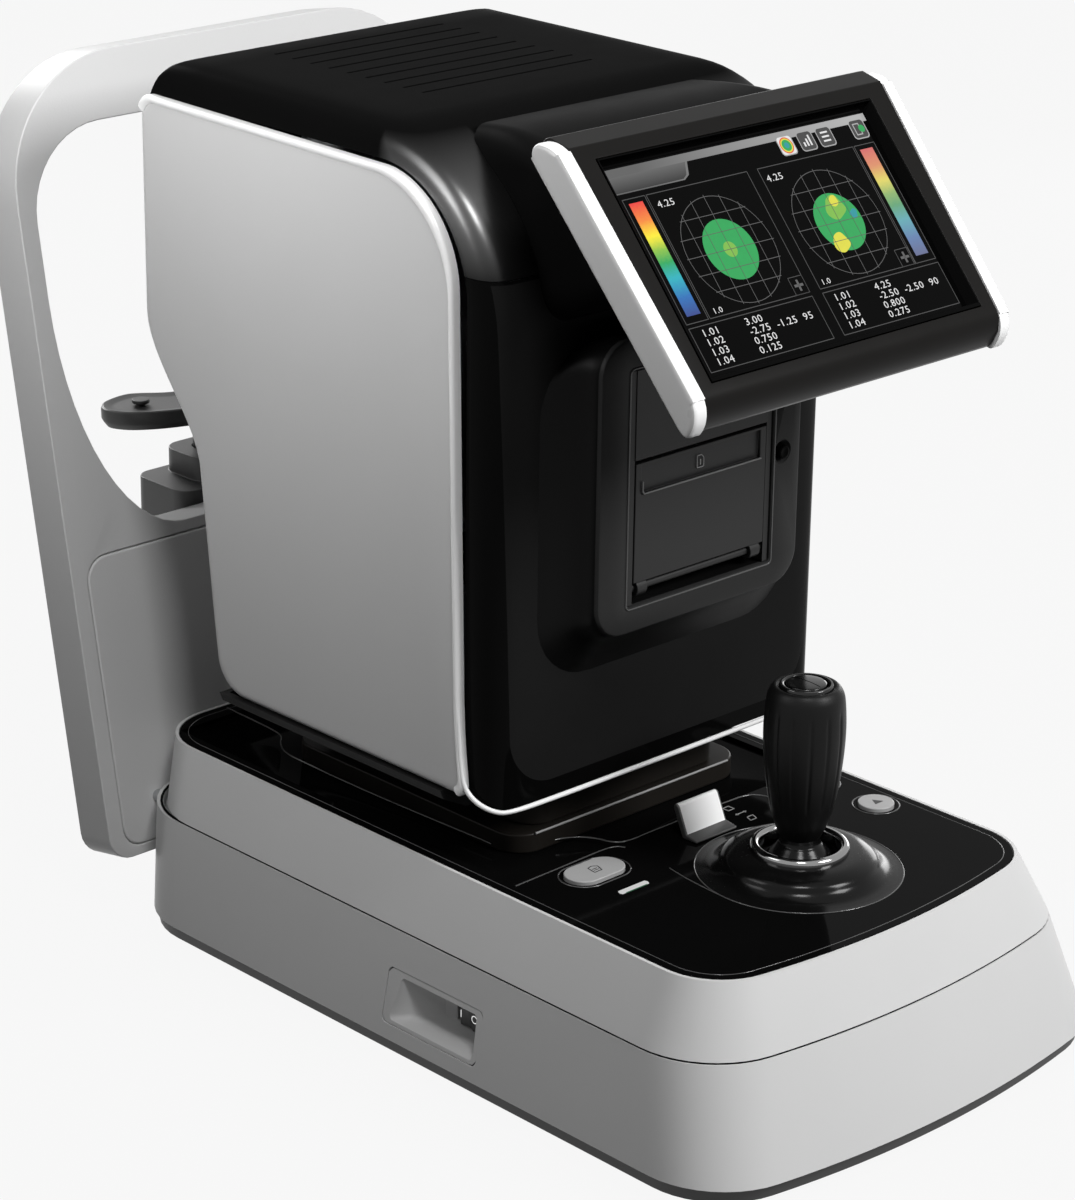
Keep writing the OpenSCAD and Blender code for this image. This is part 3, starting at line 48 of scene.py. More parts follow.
bodyOf = {node: body for body, members in frame["record"]["behaviour"]["bodies"].items() for node in members}
slotOf = {part["node"]: part["material_slot"] for part in frame["record"]["subparts"]}
print("frame loaded:", len(nodes), "nodes")


# node maths: a Value wraps one socket, and sums on it add Math nodes
class Value:
    def __init__(self, plan, socket):
        self.plan, self.socket = plan, socket

    def __add__(self, other): return self.plan.calc("ADD", self, other)
    def __radd__(self, other): return self.plan.calc("ADD", other, self)
    def __sub__(self, other): return self.plan.calc("SUBTRACT", self, other)
    def __rsub__(self, other): return self.plan.calc("SUBTRACT", other, self)
    def __mul__(self, other): return self.plan.calc("MULTIPLY", self, other)
    def __rmul__(self, other): return self.plan.calc("MULTIPLY", other, self)
    def __truediv__(self, other): return self.plan.calc("DIVIDE", self, other)
    def __rtruediv__(self, other): return self.plan.calc("DIVIDE", other, self)
    def __lt__(self, other): return self.plan.calc("LESS_THAN", self, other)
    def __gt__(self, other): return self.plan.calc("GREATER_THAN", self, other)
    def size(self): return self.plan.calc("ABSOLUTE", self)
    def least(self, other): return self.plan.calc("MINIMUM", self, other)
    def most(self, other): return self.plan.calc("MAXIMUM", self, other)


# a node tree, the nodes added to it and the links between them
class Plan:
    def __init__(self, tree):
        self.tree = tree
        self.tree.nodes.clear()

    def put(self, slot, value):
        if isinstance(value, Value):
            value = value.socket
        if isinstance(value, bpy.types.NodeSocket):
            self.tree.links.new(value, slot)
        elif slot.type == "RGBA" and isinstance(value, tuple):
            slot.default_value = (*value, 1.0)
        else:
            slot.default_value = value

    def add(self, kind, settings=None, sockets=None):
        node = self.tree.nodes.new(kind)
        for key, value in (settings or {}).items():
            if key == "stops":
                ramp = node.color_ramp
                while len(ramp.elements) < len(value):
                    ramp.elements.new(0.5)
                for element, (at, colour) in zip(ramp.elements, value):
                    element.position, element.color = at, (*colour, 1.0)
            else:
                setattr(node, key, value)
        for key, value in (sockets or {}).items():
            self.put(node.inputs[key], value)
        return node

    def calc(self, operation, *terms):
        node = self.add("ShaderNodeMath", {"operation": operation}, dict(enumerate(terms)))
        return Value(self, node.outputs[0])

    def split(self, place):
        node = self.add("ShaderNodeSeparateXYZ", {}, {0: place})
        return [Value(self, out) for out in node.outputs]


# one material: its shader, its patterns and the sums between them
class Finish(Plan):
    def __init__(self, name, colour, roughness, metallic=0.0, gloss=0.5, **fixed):
        self.material = bpy.data.materials.new(name)
        self.material.use_nodes = True
        super().__init__(self.material.node_tree)
        self.place = self.add("ShaderNodeTexCoord").outputs["Object"]
        self.shader = self.add("ShaderNodeBsdfPrincipled", {}, {
            "Base Color": colour, "Roughness": roughness, "Metallic": metallic, "Specular IOR Level": gloss})
        self.set(**fixed)
        self.output = self.add("ShaderNodeOutputMaterial", {}, {"Surface": self.shader.outputs[0]})

    def axes(self):
        return self.split(self.place)

    def noise(self, scale, detail=2.0, stretch=(1.0, 1.0, 1.0)):
        where = self.add("ShaderNodeMapping", {}, {"Vector": self.place, "Scale": stretch}).outputs[0]
        node = self.add("ShaderNodeTexNoise", {}, {"Vector": where, "Scale": scale, "Detail": detail})
        return Value(self, node.outputs[0])

    def blendColour(self, factor, low, high):
        settings = {"data_type": "RGBA", "clamp_factor": True}
        return Value(self, self.add("ShaderNodeMix", settings, {0: factor, 6: low, 7: high}).outputs[2])

    def set(self, **sockets):
        for key, value in sockets.items():
            self.put(self.shader.inputs[key.replace("_", " ")], value)

    def bump(self, height, strength, distance=0.0001):
        node = self.add("ShaderNodeBump", {}, {"Height": height, "Strength": strength, "Distance": distance})
        self.put(self.shader.inputs["Normal"], node.outputs[0])


def grey(level):
    return (level, level, level)


# ---- finishes
def moulded(name, colour, roughness=0.42, grain=0.25, grainSize=0.0006, tint=0.04, **fixed):
    finish = Finish(name, colour, roughness, **fixed)
    darker = tuple(part * (1.0 - tint) for part in colour)
    lighter = tuple(min(1.0, part * (1.0 + tint)) for part in colour)
    finish.set(Base_Color=finish.blendColour(finish.noise(9.0, 3.0), darker, lighter),
               Roughness=roughness - 0.04 + 0.08 * finish.noise(60.0, 3.0))
    finish.bump(finish.noise(1.0 / grainSize), grain, 0.00012)
    return finish


def glossy(name, colour, roughness=0.07, **fixed):
    finish = Finish(name, colour, roughness, **fixed)
    smudge = finish.noise(14.0, 5.0)
    dust = (finish.noise(900.0, 1.0) > 0.74) * 0.12
    lighter = tuple(part * 1.25 for part in colour)
    finish.set(Roughness=roughness + 0.05 * smudge * smudge + dust,
               Base_Color=finish.blendColour(finish.noise(25.0), colour, lighter))
    return finish


def metal(name, colour, roughness=0.3, stretch=(1.0, 1.0, 1.0), scratch=0.15):
    finish = Finish(name, colour, roughness, 1.0)
    lines = finish.noise(700.0, 3.0, stretch)
    darker = tuple(part * 0.92 for part in colour)
    finish.set(Roughness=roughness - 0.06 + 0.14 * lines,
               Base_Color=finish.blendColour(finish.noise(30.0, 3.0), darker, colour))
    finish.bump(lines, scratch, 0.00005)
    return finish


# a slot's own finish, then the finishes of single pieces
finishes = {
    "shell_grey": moulded("shellGrey", grey(0.62), 0.34, 0.12, gloss=0.25),
    "panel_grey": moulded("panelGrey", grey(0.58), 0.3, 0.08, gloss=0.2),
    "rim_white": moulded("rimWhite", grey(0.86), 0.25, 0.04),
    "plinth_dark": moulded("plinthDark", grey(0.03), 0.5),
    "plate_steel": metal("plateSteel", (0.56, 0.57, 0.58), 0.38, (1.0, 0.05, 1.0)),
    "rail_steel": metal("railSteel", (0.72, 0.73, 0.75), 0.16),
    "cast_grey": metal("castGrey", (0.5, 0.51, 0.52), 0.42),
    "electronics": moulded("boardGreen", (0.02, 0.11, 0.05), 0.4),
    "gloss_black": glossy("glossBlack", grey(0.0025), 0.05, gloss=0.012),
    "satin_black": moulded("satinBlack", grey(0.004), 0.3, 0.12, gloss=0.003),
    "printer_dark": moulded("printerDark", grey(0.02), 0.42, 0.2, gloss=0.2),
    "rubber_black": moulded("rubberBlack", grey(0.004), 0.42, 0.2, gloss=0.14),
    "switch_black": moulded("switchBlack", grey(0.008), 0.35, 0.1),
    "button_grey": moulded("buttonGrey", grey(0.36), 0.42, 0.2),
    "tab_white": moulded("tabWhite", (0.84, 0.84, 0.82), 0.36, 0.1),
    "chrome_ring": metal("darkChrome", grey(0.3), 0.08, scratch=0.02),
    "steel_screw": metal("screwSteel", (0.6, 0.6, 0.61), 0.26),
    "lens_glass": glossy("lensGlass", (0.25, 0.4, 0.45), 0.03, Transmission_Weight=0.9),
    "screen": glossy("screenGlass", grey(0.001), 0.08, gloss=0.03),
    "cap_silver": moulded("capSilver", grey(0.62), 0.3, 0.08),
    "arch_grey": moulded("archGrey", grey(0.66), 0.42, 0.35, 0.0009, gloss=0.25),
    "chin_dark": moulded("chinDark", grey(0.045), 0.45, 0.25),
    "paper": moulded("paperWhite", (0.82, 0.82, 0.8), 0.7),
    "pad_black": moulded("padBlack", grey(0.02), 0.55, 0.3),
    "padVinyl": moulded("padVinyl", grey(0.016), 0.5, 0.5, 0.0011),
    # painted shade on the head pan, and the rear cover's own dark colour
    "panShade": moulded("panShade", grey(0.012), 0.5, 0.1, gloss=0.05),
    "caseSheen": moulded("caseSheen", (0.005, 0.0046, 0.0042), 0.32, 0.08, gloss=0.07),
    "blockSheen": moulded("blockSheen", (0.017, 0.015, 0.013), 0.36, 0.1, gloss=0.1),
    "capGloss": glossy("capGloss", grey(0.003), 0.13, gloss=0.4),
    "domeGloss": glossy("domeGloss", grey(0.003), 0.16, gloss=0.14),
    "edgeGloss": glossy("edgeGloss", grey(0.05), 0.12, gloss=0.6),
    # painted highlight along the printer bay's edge
    "edgeGrey": moulded("edgeGrey", grey(0.06), 0.35, 0.05),
    # painted highlight on the lower and left edge of the door's pull
    "pullLight": moulded("pullLight", grey(0.14), 0.35, 0.05),
    "seamDark": moulded("seamDark", grey(0.004), 0.6, 0.05, gloss=0.02),
    # grey for printed signs, and for painted highlights on the stage block's edge and in the thumb dimple
    "signGrey": moulded("signGrey", grey(0.34), 0.5, 0.05),
    "signDark": moulded("signDark", grey(0.015), 0.5, 0.05),
}
print("finishes made:", len(finishes))


# ---- mesh tools: sizes are written in millimetres and made metres in makeMesh
def span(node):
    low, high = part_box(node)
    return [1000.0 * part for part in (*low, *high)]


# the middle of a span, seen from above, and half its width
def middleOf(box):
    return (box[0] + box[3]) / 2, (box[1] + box[4]) / 2


def halfWide(box):
    return (box[3] - box[0]) / 2


def blend(a, b, t):
    return a + (b - a) * t


def looseObject(name, data):
    item = bpy.data.objects.new(name, data)
    bpy.context.scene.collection.objects.link(item)
    return item


def plainMesh(piece):
    held = bpy.data.meshes.new_from_object(piece.evaluated_get(bpy.context.evaluated_depsgraph_get()))
    piece.modifiers.clear()
    piece.data = held
    return held


def rawMesh(name, points, edges, faces):
    mesh = bpy.data.meshes.new(name)
    mesh.from_pydata([[part * 0.001 for part in point] for point in points], edges, faces)
    return mesh


# a mesh is opened, changed as asked and closed again, smooth up to its sharp angle
def reshape(mesh, change, sharp=None):
    shape = bmesh.new()
    shape.from_mesh(mesh)
    change(shape)
    shape.to_mesh(mesh)
    shape.free()
    if sharp:
        mesh.set_sharp_from_angle(angle=math.radians(sharp))
    return mesh


def mergeDoubles(shape):
    bmesh.ops.remove_doubles(shape, verts=shape.verts, dist=2e-6)


def pointOutwards(shape):
    bmesh.ops.recalc_face_normals(shape, faces=shape.faces)


def smoothFaces(shape):
    for face in shape.faces:
        face.smooth = True


def makeMesh(name, points, faces, sharp=32.0):
    def settle(shape):
        mergeDoubles(shape)
        pointOutwards(shape)
        smoothFaces(shape)
    return reshape(rawMesh(name, points, [], faces), settle, sharp)


def joinMeshes(name, meshes, sharp=None):
    def gather(shape):
        for mesh in meshes:
            shape.from_mesh(mesh)
    return reshape(bpy.data.meshes.new(name), gather, sharp)


def loft(name, rings, caps=(True, True), closed=True, sharp=32.0):
    count = len(rings[0])
    faces = []
    for i in range(len(rings) - 1):
        for j in range(count if closed else count - 1):
            a, b = i * count + j, i * count + (j + 1) % count
            faces.append((a, b, b + count, a + count))
    if caps[0]:
        faces.append(tuple(range(count)))
    if caps[1]:
        faces.append(tuple(range((len(rings) - 1) * count, len(rings) * count)))
    return makeMesh(name, [point for ring in rings for point in ring], faces, sharp)


def arc(cx, cy, radius, start, end, steps=8):
    turns = [math.radians(blend(start, end, i / steps)) for i in range(steps + 1)]
    return [(cx + radius * math.cos(turn), cy + radius * math.sin(turn)) for turn in turns]


def circle(cx, cy, radius, steps):
    return arc(cx, cy, radius, 0, 360, steps)[:-1]


# a solid turned about a line along Y, from pairs of a radius and a depth
def turnedAlongY(name, cx, cz, profile, steps=32):
    return loft(name, [[(x, y, z) for x, z in circle(cx, cz, radius, steps)] for radius, y in profile])


def roundRect(half, low, high, radius, steps=8):
    left, right, top, foot = radius - half, half - radius, high - radius, low + radius
    corners = ((right, top, 0), (left, top, 90), (left, foot, 180), (right, foot, 270))
    return [point for x, y, turn in corners for point in arc(x, y, radius, turn, turn + 90, steps)]


def mirrored(points):
    return points + [(-x, y) for x, y in reversed(points)]


# a smooth line through points of any size, as a Catmull-Rom spline
def smoothLine(points, parts=5):
    line = []
    for i in range(len(points) - 1):
        near = points[max(0, i - 1)], points[i], points[i + 1], points[min(len(points) - 1, i + 2)]
        for k in range(parts):
            t = k / parts
            line.append(tuple(0.5 * (2 * b + (c - a) * t + (2 * a - 5 * b + 4 * c - d) * t * t
                                     + (3 * b - a - 3 * c + d) * t ** 3) for a, b, c, d in zip(*near)))
    return line + [points[-1]]


# the bowed plan outline of the base and the deck, drawn in by inset
def planOutline(width, front, rear, corner, inset, sag):
    half = width / 2
    bend = (half * half + sag * sag) / (2 * sag)
    reach = math.sqrt((bend - corner) ** 2 - (half - corner) ** 2)
    turn = math.degrees(math.asin((half - corner) / (bend - corner)))
    return mirrored(arc(0, front + bend, bend - inset, -90, turn - 90, 10)
                    + arc(half - corner, front + bend - reach, corner - inset, turn - 90, 0, 12)
                    + arc(half - corner, rear - corner, corner - inset, 0, 90, 12))


def carve(piece, name, mesh):
    cutter = looseObject(name, mesh)
    cut = piece.modifiers.new("cut", "BOOLEAN")
    cut.operation, cut.object, cut.solver = "DIFFERENCE", cutter, "EXACT"
    plainMesh(piece)
    bpy.data.objects.remove(cutter)
    piece.data.set_sharp_from_angle(angle=math.radians(32.0))


def boxMesh(name, low, high):
    corners = [(x, y, z) for x in (low[0], high[0]) for y in (low[1], high[1]) for z in (low[2], high[2])]
    sides = [(0, 1, 3, 2), (4, 6, 7, 5), (0, 4, 5, 1), (2, 3, 7, 6), (0, 2, 6, 4), (1, 5, 7, 3)]
    return makeMesh(name, corners, sides)


# a geometry node tree with named inputs, which grows a mesh from a seed
class Growth(Plan):
    def __init__(self, name, **sizes):
        super().__init__(bpy.data.node_groups.new(name, "GeometryNodeTree"))
        for way in ("INPUT", "OUTPUT"):
            self.tree.interface.new_socket("Geometry", in_out=way, socket_type="NodeSocketGeometry")
        self.sizes = sizes
        for label, value in sizes.items():
            kind = "NodeSocketInt" if isinstance(value, int) else "NodeSocketFloat"
            self.tree.interface.new_socket(label, in_out="INPUT", socket_type=kind).default_value = value
        self.inputs = self.add("NodeGroupInput")
        self.output = self.add("NodeGroupOutput")

    def size(self, label):
        return Value(self, self.inputs.outputs[label])

    def finish(self, geometry, slot):
        solid = self.add("GeometryNodeRealizeInstances", {}, {0: geometry})
        dressed = self.add("GeometryNodeSetMaterial", {}, {
            "Geometry": solid.outputs[0], "Material": finishes[slot].material})
        self.put(self.output.inputs[0], dressed.outputs[0])

    def grow(self, name, seedMesh):
        piece = looseObject(name, seedMesh)
        grower = piece.modifiers.new("growth", "NODES")
        grower.node_group = self.tree
        for item in self.tree.interface.items_tree:
            if item.in_out == "INPUT" and item.name in self.sizes:
                grower[item.identifier] = self.sizes[item.name]
        held = plainMesh(piece)
        bpy.data.objects.remove(piece)
        return held


# a round bead along a path, for lips, edge lines and trims
def beadAlong(name, points, radius, slot, closed=True, sides=10):
    count = len(points)
    edges = [(i, (i + 1) % count) for i in range(count if closed else count - 1)]
    bead = Growth("bead", **{"Bead radius": radius * 0.001, "Bead sides": sides})
    path = bead.add("GeometryNodeMeshToCurve", {}, {0: bead.inputs.outputs[0]})
    ring = bead.add("GeometryNodeCurvePrimitiveCircle", {}, {
        "Resolution": bead.size("Bead sides"), "Radius": bead.size("Bead radius")})
    swept = bead.add("GeometryNodeCurveToMesh", {}, {
        "Curve": path.outputs[0], "Profile Curve": ring.outputs[0], "Fill Caps": True})
    smooth = bead.add("GeometryNodeSetShadeSmooth", {}, {"Geometry": swept.outputs[0]})
    bead.finish(smooth.outputs[0], slot)
    return bead.grow(name, rawMesh(name, points, edges, []))


made = set()


def addPiece(name, mesh, body, slot, replaced=(), finish=None):
    piece = looseObject(name, mesh)
    mesh.materials.clear()
    mesh.materials.append(finishes[finish or slot].material)
    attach(piece, body)
    if replaced:
        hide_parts(*replaced)
        made.update(replaced)
    return piece


# a piece in place of a node, on the node's body and in its slot
def replacePiece(name, mesh, node, finish=None):
    return addPiece(name, mesh, bodyOf[node], slotOf[node], [node], finish)


def addBead(name, points, radius, body, slot, finish, closed=True, sides=10):
    addPiece(name, beadAlong(name, points, radius, slot, closed, sides), body, slot, (), finish)


# a node's own shape with its edges broken, as a moulding or a machined part has them
def dress(name, edge=0.6, sharp=32.0, steps=2, finish=None):
    def settle(shape):
        mergeDoubles(shape)
        flatTo = math.radians(0.4)
        bmesh.ops.dissolve_limit(shape, angle_limit=flatTo, verts=shape.verts, edges=shape.edges)
        smoothFaces(shape)
    mesh = reshape(joinMeshes(name, [nodes[name].data]), settle, sharp)
    piece = replacePiece(name + "Skin", mesh, name, finish)
    bevel = piece.modifiers.new("edge", "BEVEL")
    bevel.width, bevel.segments, bevel.limit_method = edge * 0.001, steps, "ANGLE"
    bevel.angle_limit, bevel.harden_normals = math.radians(sharp), True


# ---- head: the black shell over the side panels
headBox, coverBox, topBox = span("side_rims"), span("front_cover"), span("top_cover")
headShell = {
    "half": coverBox[3],                  # half width of the shell
    "front": coverBox[1],                 # plane of its front
    "rim": span("left_panel")[1] - 3.9,   # where it meets the side panels
    "top": topBox[5],                     # highest line
    "shoulder": headBox[5] - 0.5,         # height at the side panels
    "low": coverBox[2],                   # foot of the front cover
    "split": coverBox[5],                 # where the two covers meet
    "rear": topBox[4],                    # back of the top cover
    "back": coverBox[4],                  # back of the front cover
    "wall": 2.4,
    "corner": 10.0,                       # rounding of the lower corners of its front
    "sideRadius": 54.0,                   # shoulder rounding at the side panels
    "frontRadius": 80.0,                  # and at its middle
    "flatness": 20.0,                     # how far out the top stays flat
    "crease": 2.5,                        # how tight the shoulder turns
    # the places of its lines across its half, in degrees
    "steps": (0.0, 0.4, 1.5, 4, 8, 13, 19, 26, 34, 42, 51, 60, 68, 75, 81, 86, 90),
}


# the shell's line from its foot over the shoulder to its rear, at one place across its width
def shellProfile(x, k, v):
    front, top = blend(v["rim"], v["front"], k), blend(v["shoulder"], v["top"], k)
    radius = blend(v["sideRadius"], v["frontRadius"], k)
    beyond = max(0.0, abs(x) - v["half"] + v["corner"])
    low = v["low"] + v["corner"] - math.sqrt(max(0.0, v["corner"] ** 2 - beyond ** 2))
    edge, roll = v["rear"] - 7 * k, 4 + 3 * k
    line = [(front, blend(low, top - radius, i / 12)) for i in range(12)]
    line += arc(front + radius, top - radius, radius, 180, 90, 20)
    line += [(blend(front + radius, edge - 4, i / 8), top) for i in range(1, 9)]
    line += arc(edge - 4, top - roll, roll, 90, 0, 4)[1:]
    line += [(edge + 3 * k, blend(top - 8, v["split"] - 6, i / 4)) for i in range(1, 5)]
    return [(x, y, z) for y, z in line]


def shellSurface(v):
    half = []
    for turn in (math.radians(step) for step in v["steps"]):
        across = math.sin(turn) ** (2 / v["flatness"]) * v["half"]
        half.append((across, max(0.0, math.cos(turn)) ** (2 / v["crease"])))
    return [shellProfile(x, k, v) for x, k in [(-x, k) for x, k in reversed(half[1:])] + half]


# the shell is cut at its split into the top cover and the front cover, with a fine gap between
def shellPart(name, isTop, v):
    cuts = [((0, 0, v["split"] * 0.001 + (0.0003 if isTop else 0.0)), (0, 0, 1 if isTop else -1))]
    if not isTop:
        cuts.append(((0, v["back"] * 0.001, 0), (0, -1, 0)))

    def trim(shape):
        for place, way in cuts:
            parts = shape.verts[:] + shape.edges[:] + shape.faces[:]
            bmesh.ops.bisect_plane(shape, geom=parts, plane_co=place, plane_no=way, clear_inner=True)
        middle = Vector((0, 0.04, 0.28))
        if sum((face.calc_center_median() - middle).dot(face.normal) for face in shape.faces) < 0:
            bmesh.ops.reverse_faces(shape, faces=shape.faces)
    return reshape(loft(name, shellSurface(v), (False, False), False), trim)


ventRow = {"count": 9, "pitch": 12.4, "length": 102.0, "width": 1.8, "depth": 30.0, "rearmost": 119.0}


def ventCutter(v, high):
    row = Growth("ventRow", **{"Slot count": v["count"], "Slot pitch": v["pitch"] * 0.001,
                               "Slot length": v["length"] * 0.001, "Slot width": v["width"] * 0.001})
    step = row.add("ShaderNodeCombineXYZ", {}, {"Y": row.size("Slot pitch") * -1.0})
    line = row.add("GeometryNodeMeshLine", {}, {
        "Count": row.size("Slot count"), "Offset": step.outputs[0],
        "Start Location": (0.0, v["rearmost"] * 0.001, high * 0.001)})
    size = row.add("ShaderNodeCombineXYZ", {}, {
        "X": row.size("Slot length"), "Y": row.size("Slot width"), "Z": v["depth"] * 0.001})
    slot = row.add("GeometryNodeMeshCube", {}, {"Size": size.outputs[0]})
    spread = row.add("GeometryNodeInstanceOnPoints", {}, {
        "Points": line.outputs[0], "Instance": slot.outputs[0]})
    row.finish(spread.outputs[0], "satin_black")
    return row.grow("ventCutter", bpy.data.meshes.new("ventSeed"))


# the front cover: glossy black with a satin field set inside its edge
frontPanel = {"foot": 135.0, "footHalf": 92.0, "spread": 0.034, "corner": 24.0, "top": 361.5,
              "deep": 0.0025, "field": (0.009, 0.012)}


def makeFrontFinish(v):
    finish = Finish("frontPanel", grey(v["deep"]), 0.05, gloss=0.02)
    x, z = finish.axes()[::2]
    corner, foot = v["corner"] * 0.001, v["foot"] * 0.001
    across = (x.size() - (v["footHalf"] * 0.001 + v["spread"] * (z - foot)) + corner).most(0.0)
    below = (foot + corner - z).most(0.0)
    inside = ((across * across + below * below) < corner ** 2) * (z < v["top"] * 0.001)
    cloudy = finish.noise(30.0, 3.0)
    field = finish.blendColour(cloudy, *(grey(level) for level in v["field"]))
    finish.set(Base_Color=finish.blendColour(inside, grey(v["deep"]), field),
               Roughness=0.05 + inside * (0.34 + 0.06 * cloudy))
    finish.bump(inside * finish.noise(1600.0), 0.2)
    return finish


# the top cover: a coat that catches the light on its front shoulder; each fade has a start and a length
coatFade = {"below": (3.0, 24.0), "ahead": (-75.0, 20.0), "outward": (-34.0, 22.0), "above": (-4.0, 30.0),
            "most": 0.9}


def makeTopFinish(v, fade):
    finish = moulded("topCover", grey(0.004), 0.3, 0.12, gloss=0.0007, Coat_Roughness=0.3, Coat_IOR=2.0)
    x, y, z = finish.axes()
    away = {"below": v["top"] * 0.001 - z, "ahead": v["front"] * 0.001 - y,
            "outward": x.size() - v["half"] * 0.001, "above": z - v["split"] * 0.001}
    weight = fade["most"]
    for key, distance in away.items():
        start, length = fade[key]
        weight = ((distance - start * 0.001) / (length * 0.001)).least(weight)
    finish.set(Coat_Weight=weight.most(0.0))
    return finish


finishes["frontPanel"] = makeFrontFinish(frontPanel)
finishes["topCover"] = makeTopFinish(headShell, coatFade)


def makeHeadShell(v):
    top = replacePiece("topCover", shellPart("topCover", True, v), "top_cover", "topCover")
    front = replacePiece("frontCover", shellPart("frontCover", False, v), "front_cover", "frontPanel")
    for piece in (top, front):
        wall = piece.modifiers.new("wall", "SOLIDIFY")
        wall.thickness, wall.offset = v["wall"] * 0.001, -1.0
        plainMesh(piece)
        piece.data.set_sharp_from_angle(angle=math.radians(32.0))
    carve(top, "vents", ventCutter(ventRow, v["top"]))
    glass = span("lens_barrel")
    middle, reach = (glass[2] + glass[5]) / 2, (glass[5] - glass[2]) / 2 + 0.6
    bore = [(reach, v["rear"] - 25), (reach, v["rear"] + 10)]
    carve(top, "bore", turnedAlongY("bore", 0.0, middle, bore, 48))
    bay = span("printer_frame")
    carve(front, "bay", boxMesh("bay", (bay[0] - 0.3, v["front"] - 5, bay[2] - 0.3),
                                (-bay[0] + 0.3, v["front"] + 8, bay[5] + 0.3)))


makeHeadShell(headShell)
print("head shell made")


# ---- side panels, their rims and the strip under the front
sideOutline = {
    "front": headShell["rim"], "high": headBox[5], "low": span("left_panel")[2] - 3.4, "rear": headBox[4],
    "waist": headBox[4] - 37, "heel": headBox[4] - 47,
    "outer": -headBox[0], "roll": 5.0,
    # the lower front corner: how far each point lies from the front and from the foot
    "toe": ((-0.3, 46), (-1, 32), (-2, 20), (-3.1, 11), (-3.7, 5.6), (-3.2, 2.4), (-1.4, 0.7), (2, 0.1),
            (8, 0)),
    # the rim's section: how far in from the outline and below the outer face
    "section": ((0, 4.6), (0, 1.5), (0.35, 0.5), (1.0, 0), (1.8, 0), (2.6, 0.25), (3.4, 0.9), (3.4, 4.6)),
}


# a side's outline in a plane across X, drawn in by inset
def headSide(inset, v):
    front, low, heel = v["front"] + inset, v["low"] + inset, v["heel"] - inset
    high, rear, waist = v["high"] - inset, v["rear"] - inset, v["waist"] - inset
    line = [(front + y, low + z) for y, z in v["toe"]] + arc(heel - 18, low + 18, 18, 270, 350)
    for t in (i / 12 for i in range(13)):
        line.append((blend(waist, rear, t * t * (3 - 2 * t)), blend(v["high"] - 170, v["high"] - 100, t)))
    return line + arc(rear - 8, high - 8, 8, 0, 90) + arc(front + 52, high - 50, 48, 95, 180, 16)


# how much of the bright rim each point of the outline carries: all of it on the top and the front
def rimShare(i, count):
    rises = (i - count + 26) / 8
    return max(0.0, min(1.0, (7 - i) / 3 if i < 9 else rises))


def makeSides(v):
    out, wide, inn = v["outer"], v["section"][-1][0], v["outer"] - v["section"][0][1]
    face, count = out - 0.95, len(headSide(0.0, v))
    share = [rimShare(i, count) for i in range(count)]
    meshes = []
    for side in (-1, 1):
        lines = [[(side * (out - x), y, z) for y, z in headSide(inset, v)] for inset, x in v["section"]]
        order = list(range(count - 24, count)) + list(range(7))
        meshes.append(loft("rim", [[line[i] for line in lines] for i in order]))
    replacePiece("sideRims", joinMeshes("sideRims", meshes + [stripMesh(v, frontStrip)], 40.0), "side_rims")
    for side, name in ((-1, "left_panel"), (1, "right_panel")):
        skin = []
        for step in range(9):  # the panel rolls in at its edge, or stops short of the rim
            turn = math.radians(90 * max(0, step - 1) / 7)
            rolled = v["roll"] * (1 - math.cos(turn)), face - v["roll"] * 0.8 * (1 - math.sin(turn))
            deep = blend(inn + 1.0, face, min(1.0, step / 4))
            trimmed = wide + 0.05 + 0.55 * max(0, step - 4) / 4, deep
            if step == 0:
                rolled, trimmed = (rolled[0], inn + 0.4), (trimmed[0], inn + 0.4)
            lines = zip(headSide(rolled[0], v), headSide(trimmed[0], v), share)
            skin.append([(side * blend(rolled[1], trimmed[1], w), blend(a[0], b[0], w), blend(a[1], b[1], w))
                         for a, b, w in lines])
        replacePiece(name + "Skin", loft(name, skin), name)


frontStrip = {"radius": 1.15, "low": coverBox[2] - 1.5, "front": headShell["front"]}


# the bright strip leaves each side rim at its lower front corner and runs under the front cover
def stripMesh(v, s):
    x, y, z, low, front = v["outer"] - 1.3, v["front"], s["low"], v["low"], s["front"]
    half = [(x - 0.2, y + 0.4, low + 40), (x - 0.1, y - 0.6, low + 28), (x - 0.1, y - 1.8, low + 16),
            (x - 0.4, y - 3.4, low + 7.5), (x - 1.6, y - 6.6, blend(low, z, 0.2) + 3.0),
            (x - 4.4, y - 11.4, blend(low, z, 0.6) + 1.0), (x - 9.6, front + 3.4, z + 0.4),
            (x - 17.0, front + 0.9, z), (x - 32.0, front - 0.1, z), (x - 58.0, front - 0.4, z),
            (8.0, front - 0.5, z)]
    line = smoothLine(half + [(-a, b, c) for a, b, c in reversed(half)], 4)
    return beadAlong("frontStrip", line, s["radius"], "rim_white", False, 12)


makeSides(sideOutline)
print("sides made")


# ---- printer console: it swells out of the front cover to a flat face round the printer bay
consoleBox, bayBox = span("printer_console"), span("printer_frame")
console = {
    "front": consoleBox[1], "foot": headShell["front"] + 0.3,
    "half": bayBox[3] + 6.6, "low": bayBox[2] - 12.4, "high": bayBox[5] + 15.0,
    "bayHalf": -bayBox[0] + 0.4, "bayLow": bayBox[2] - 0.4, "bayHigh": bayBox[5] + 0.4,
    "swell": 17.0,              # how much wider its foot is, each side
    "corner": 15.0,
    "depth": 17.0,              # how deep the bay's wall goes
    "face": 2.4,                # how deep the lighter face goes
    "dish": ((2.4, -0.6), (2.2, 0.1), (0.9, 1.5), (0.5, 2.0), (0.5, 12)),        # round the open button
    "button": ((0.0, 0.7), (0.25, 0.2), (0.8, 0.0), (1.5, 0.15)),                # the button's rounded edge
}


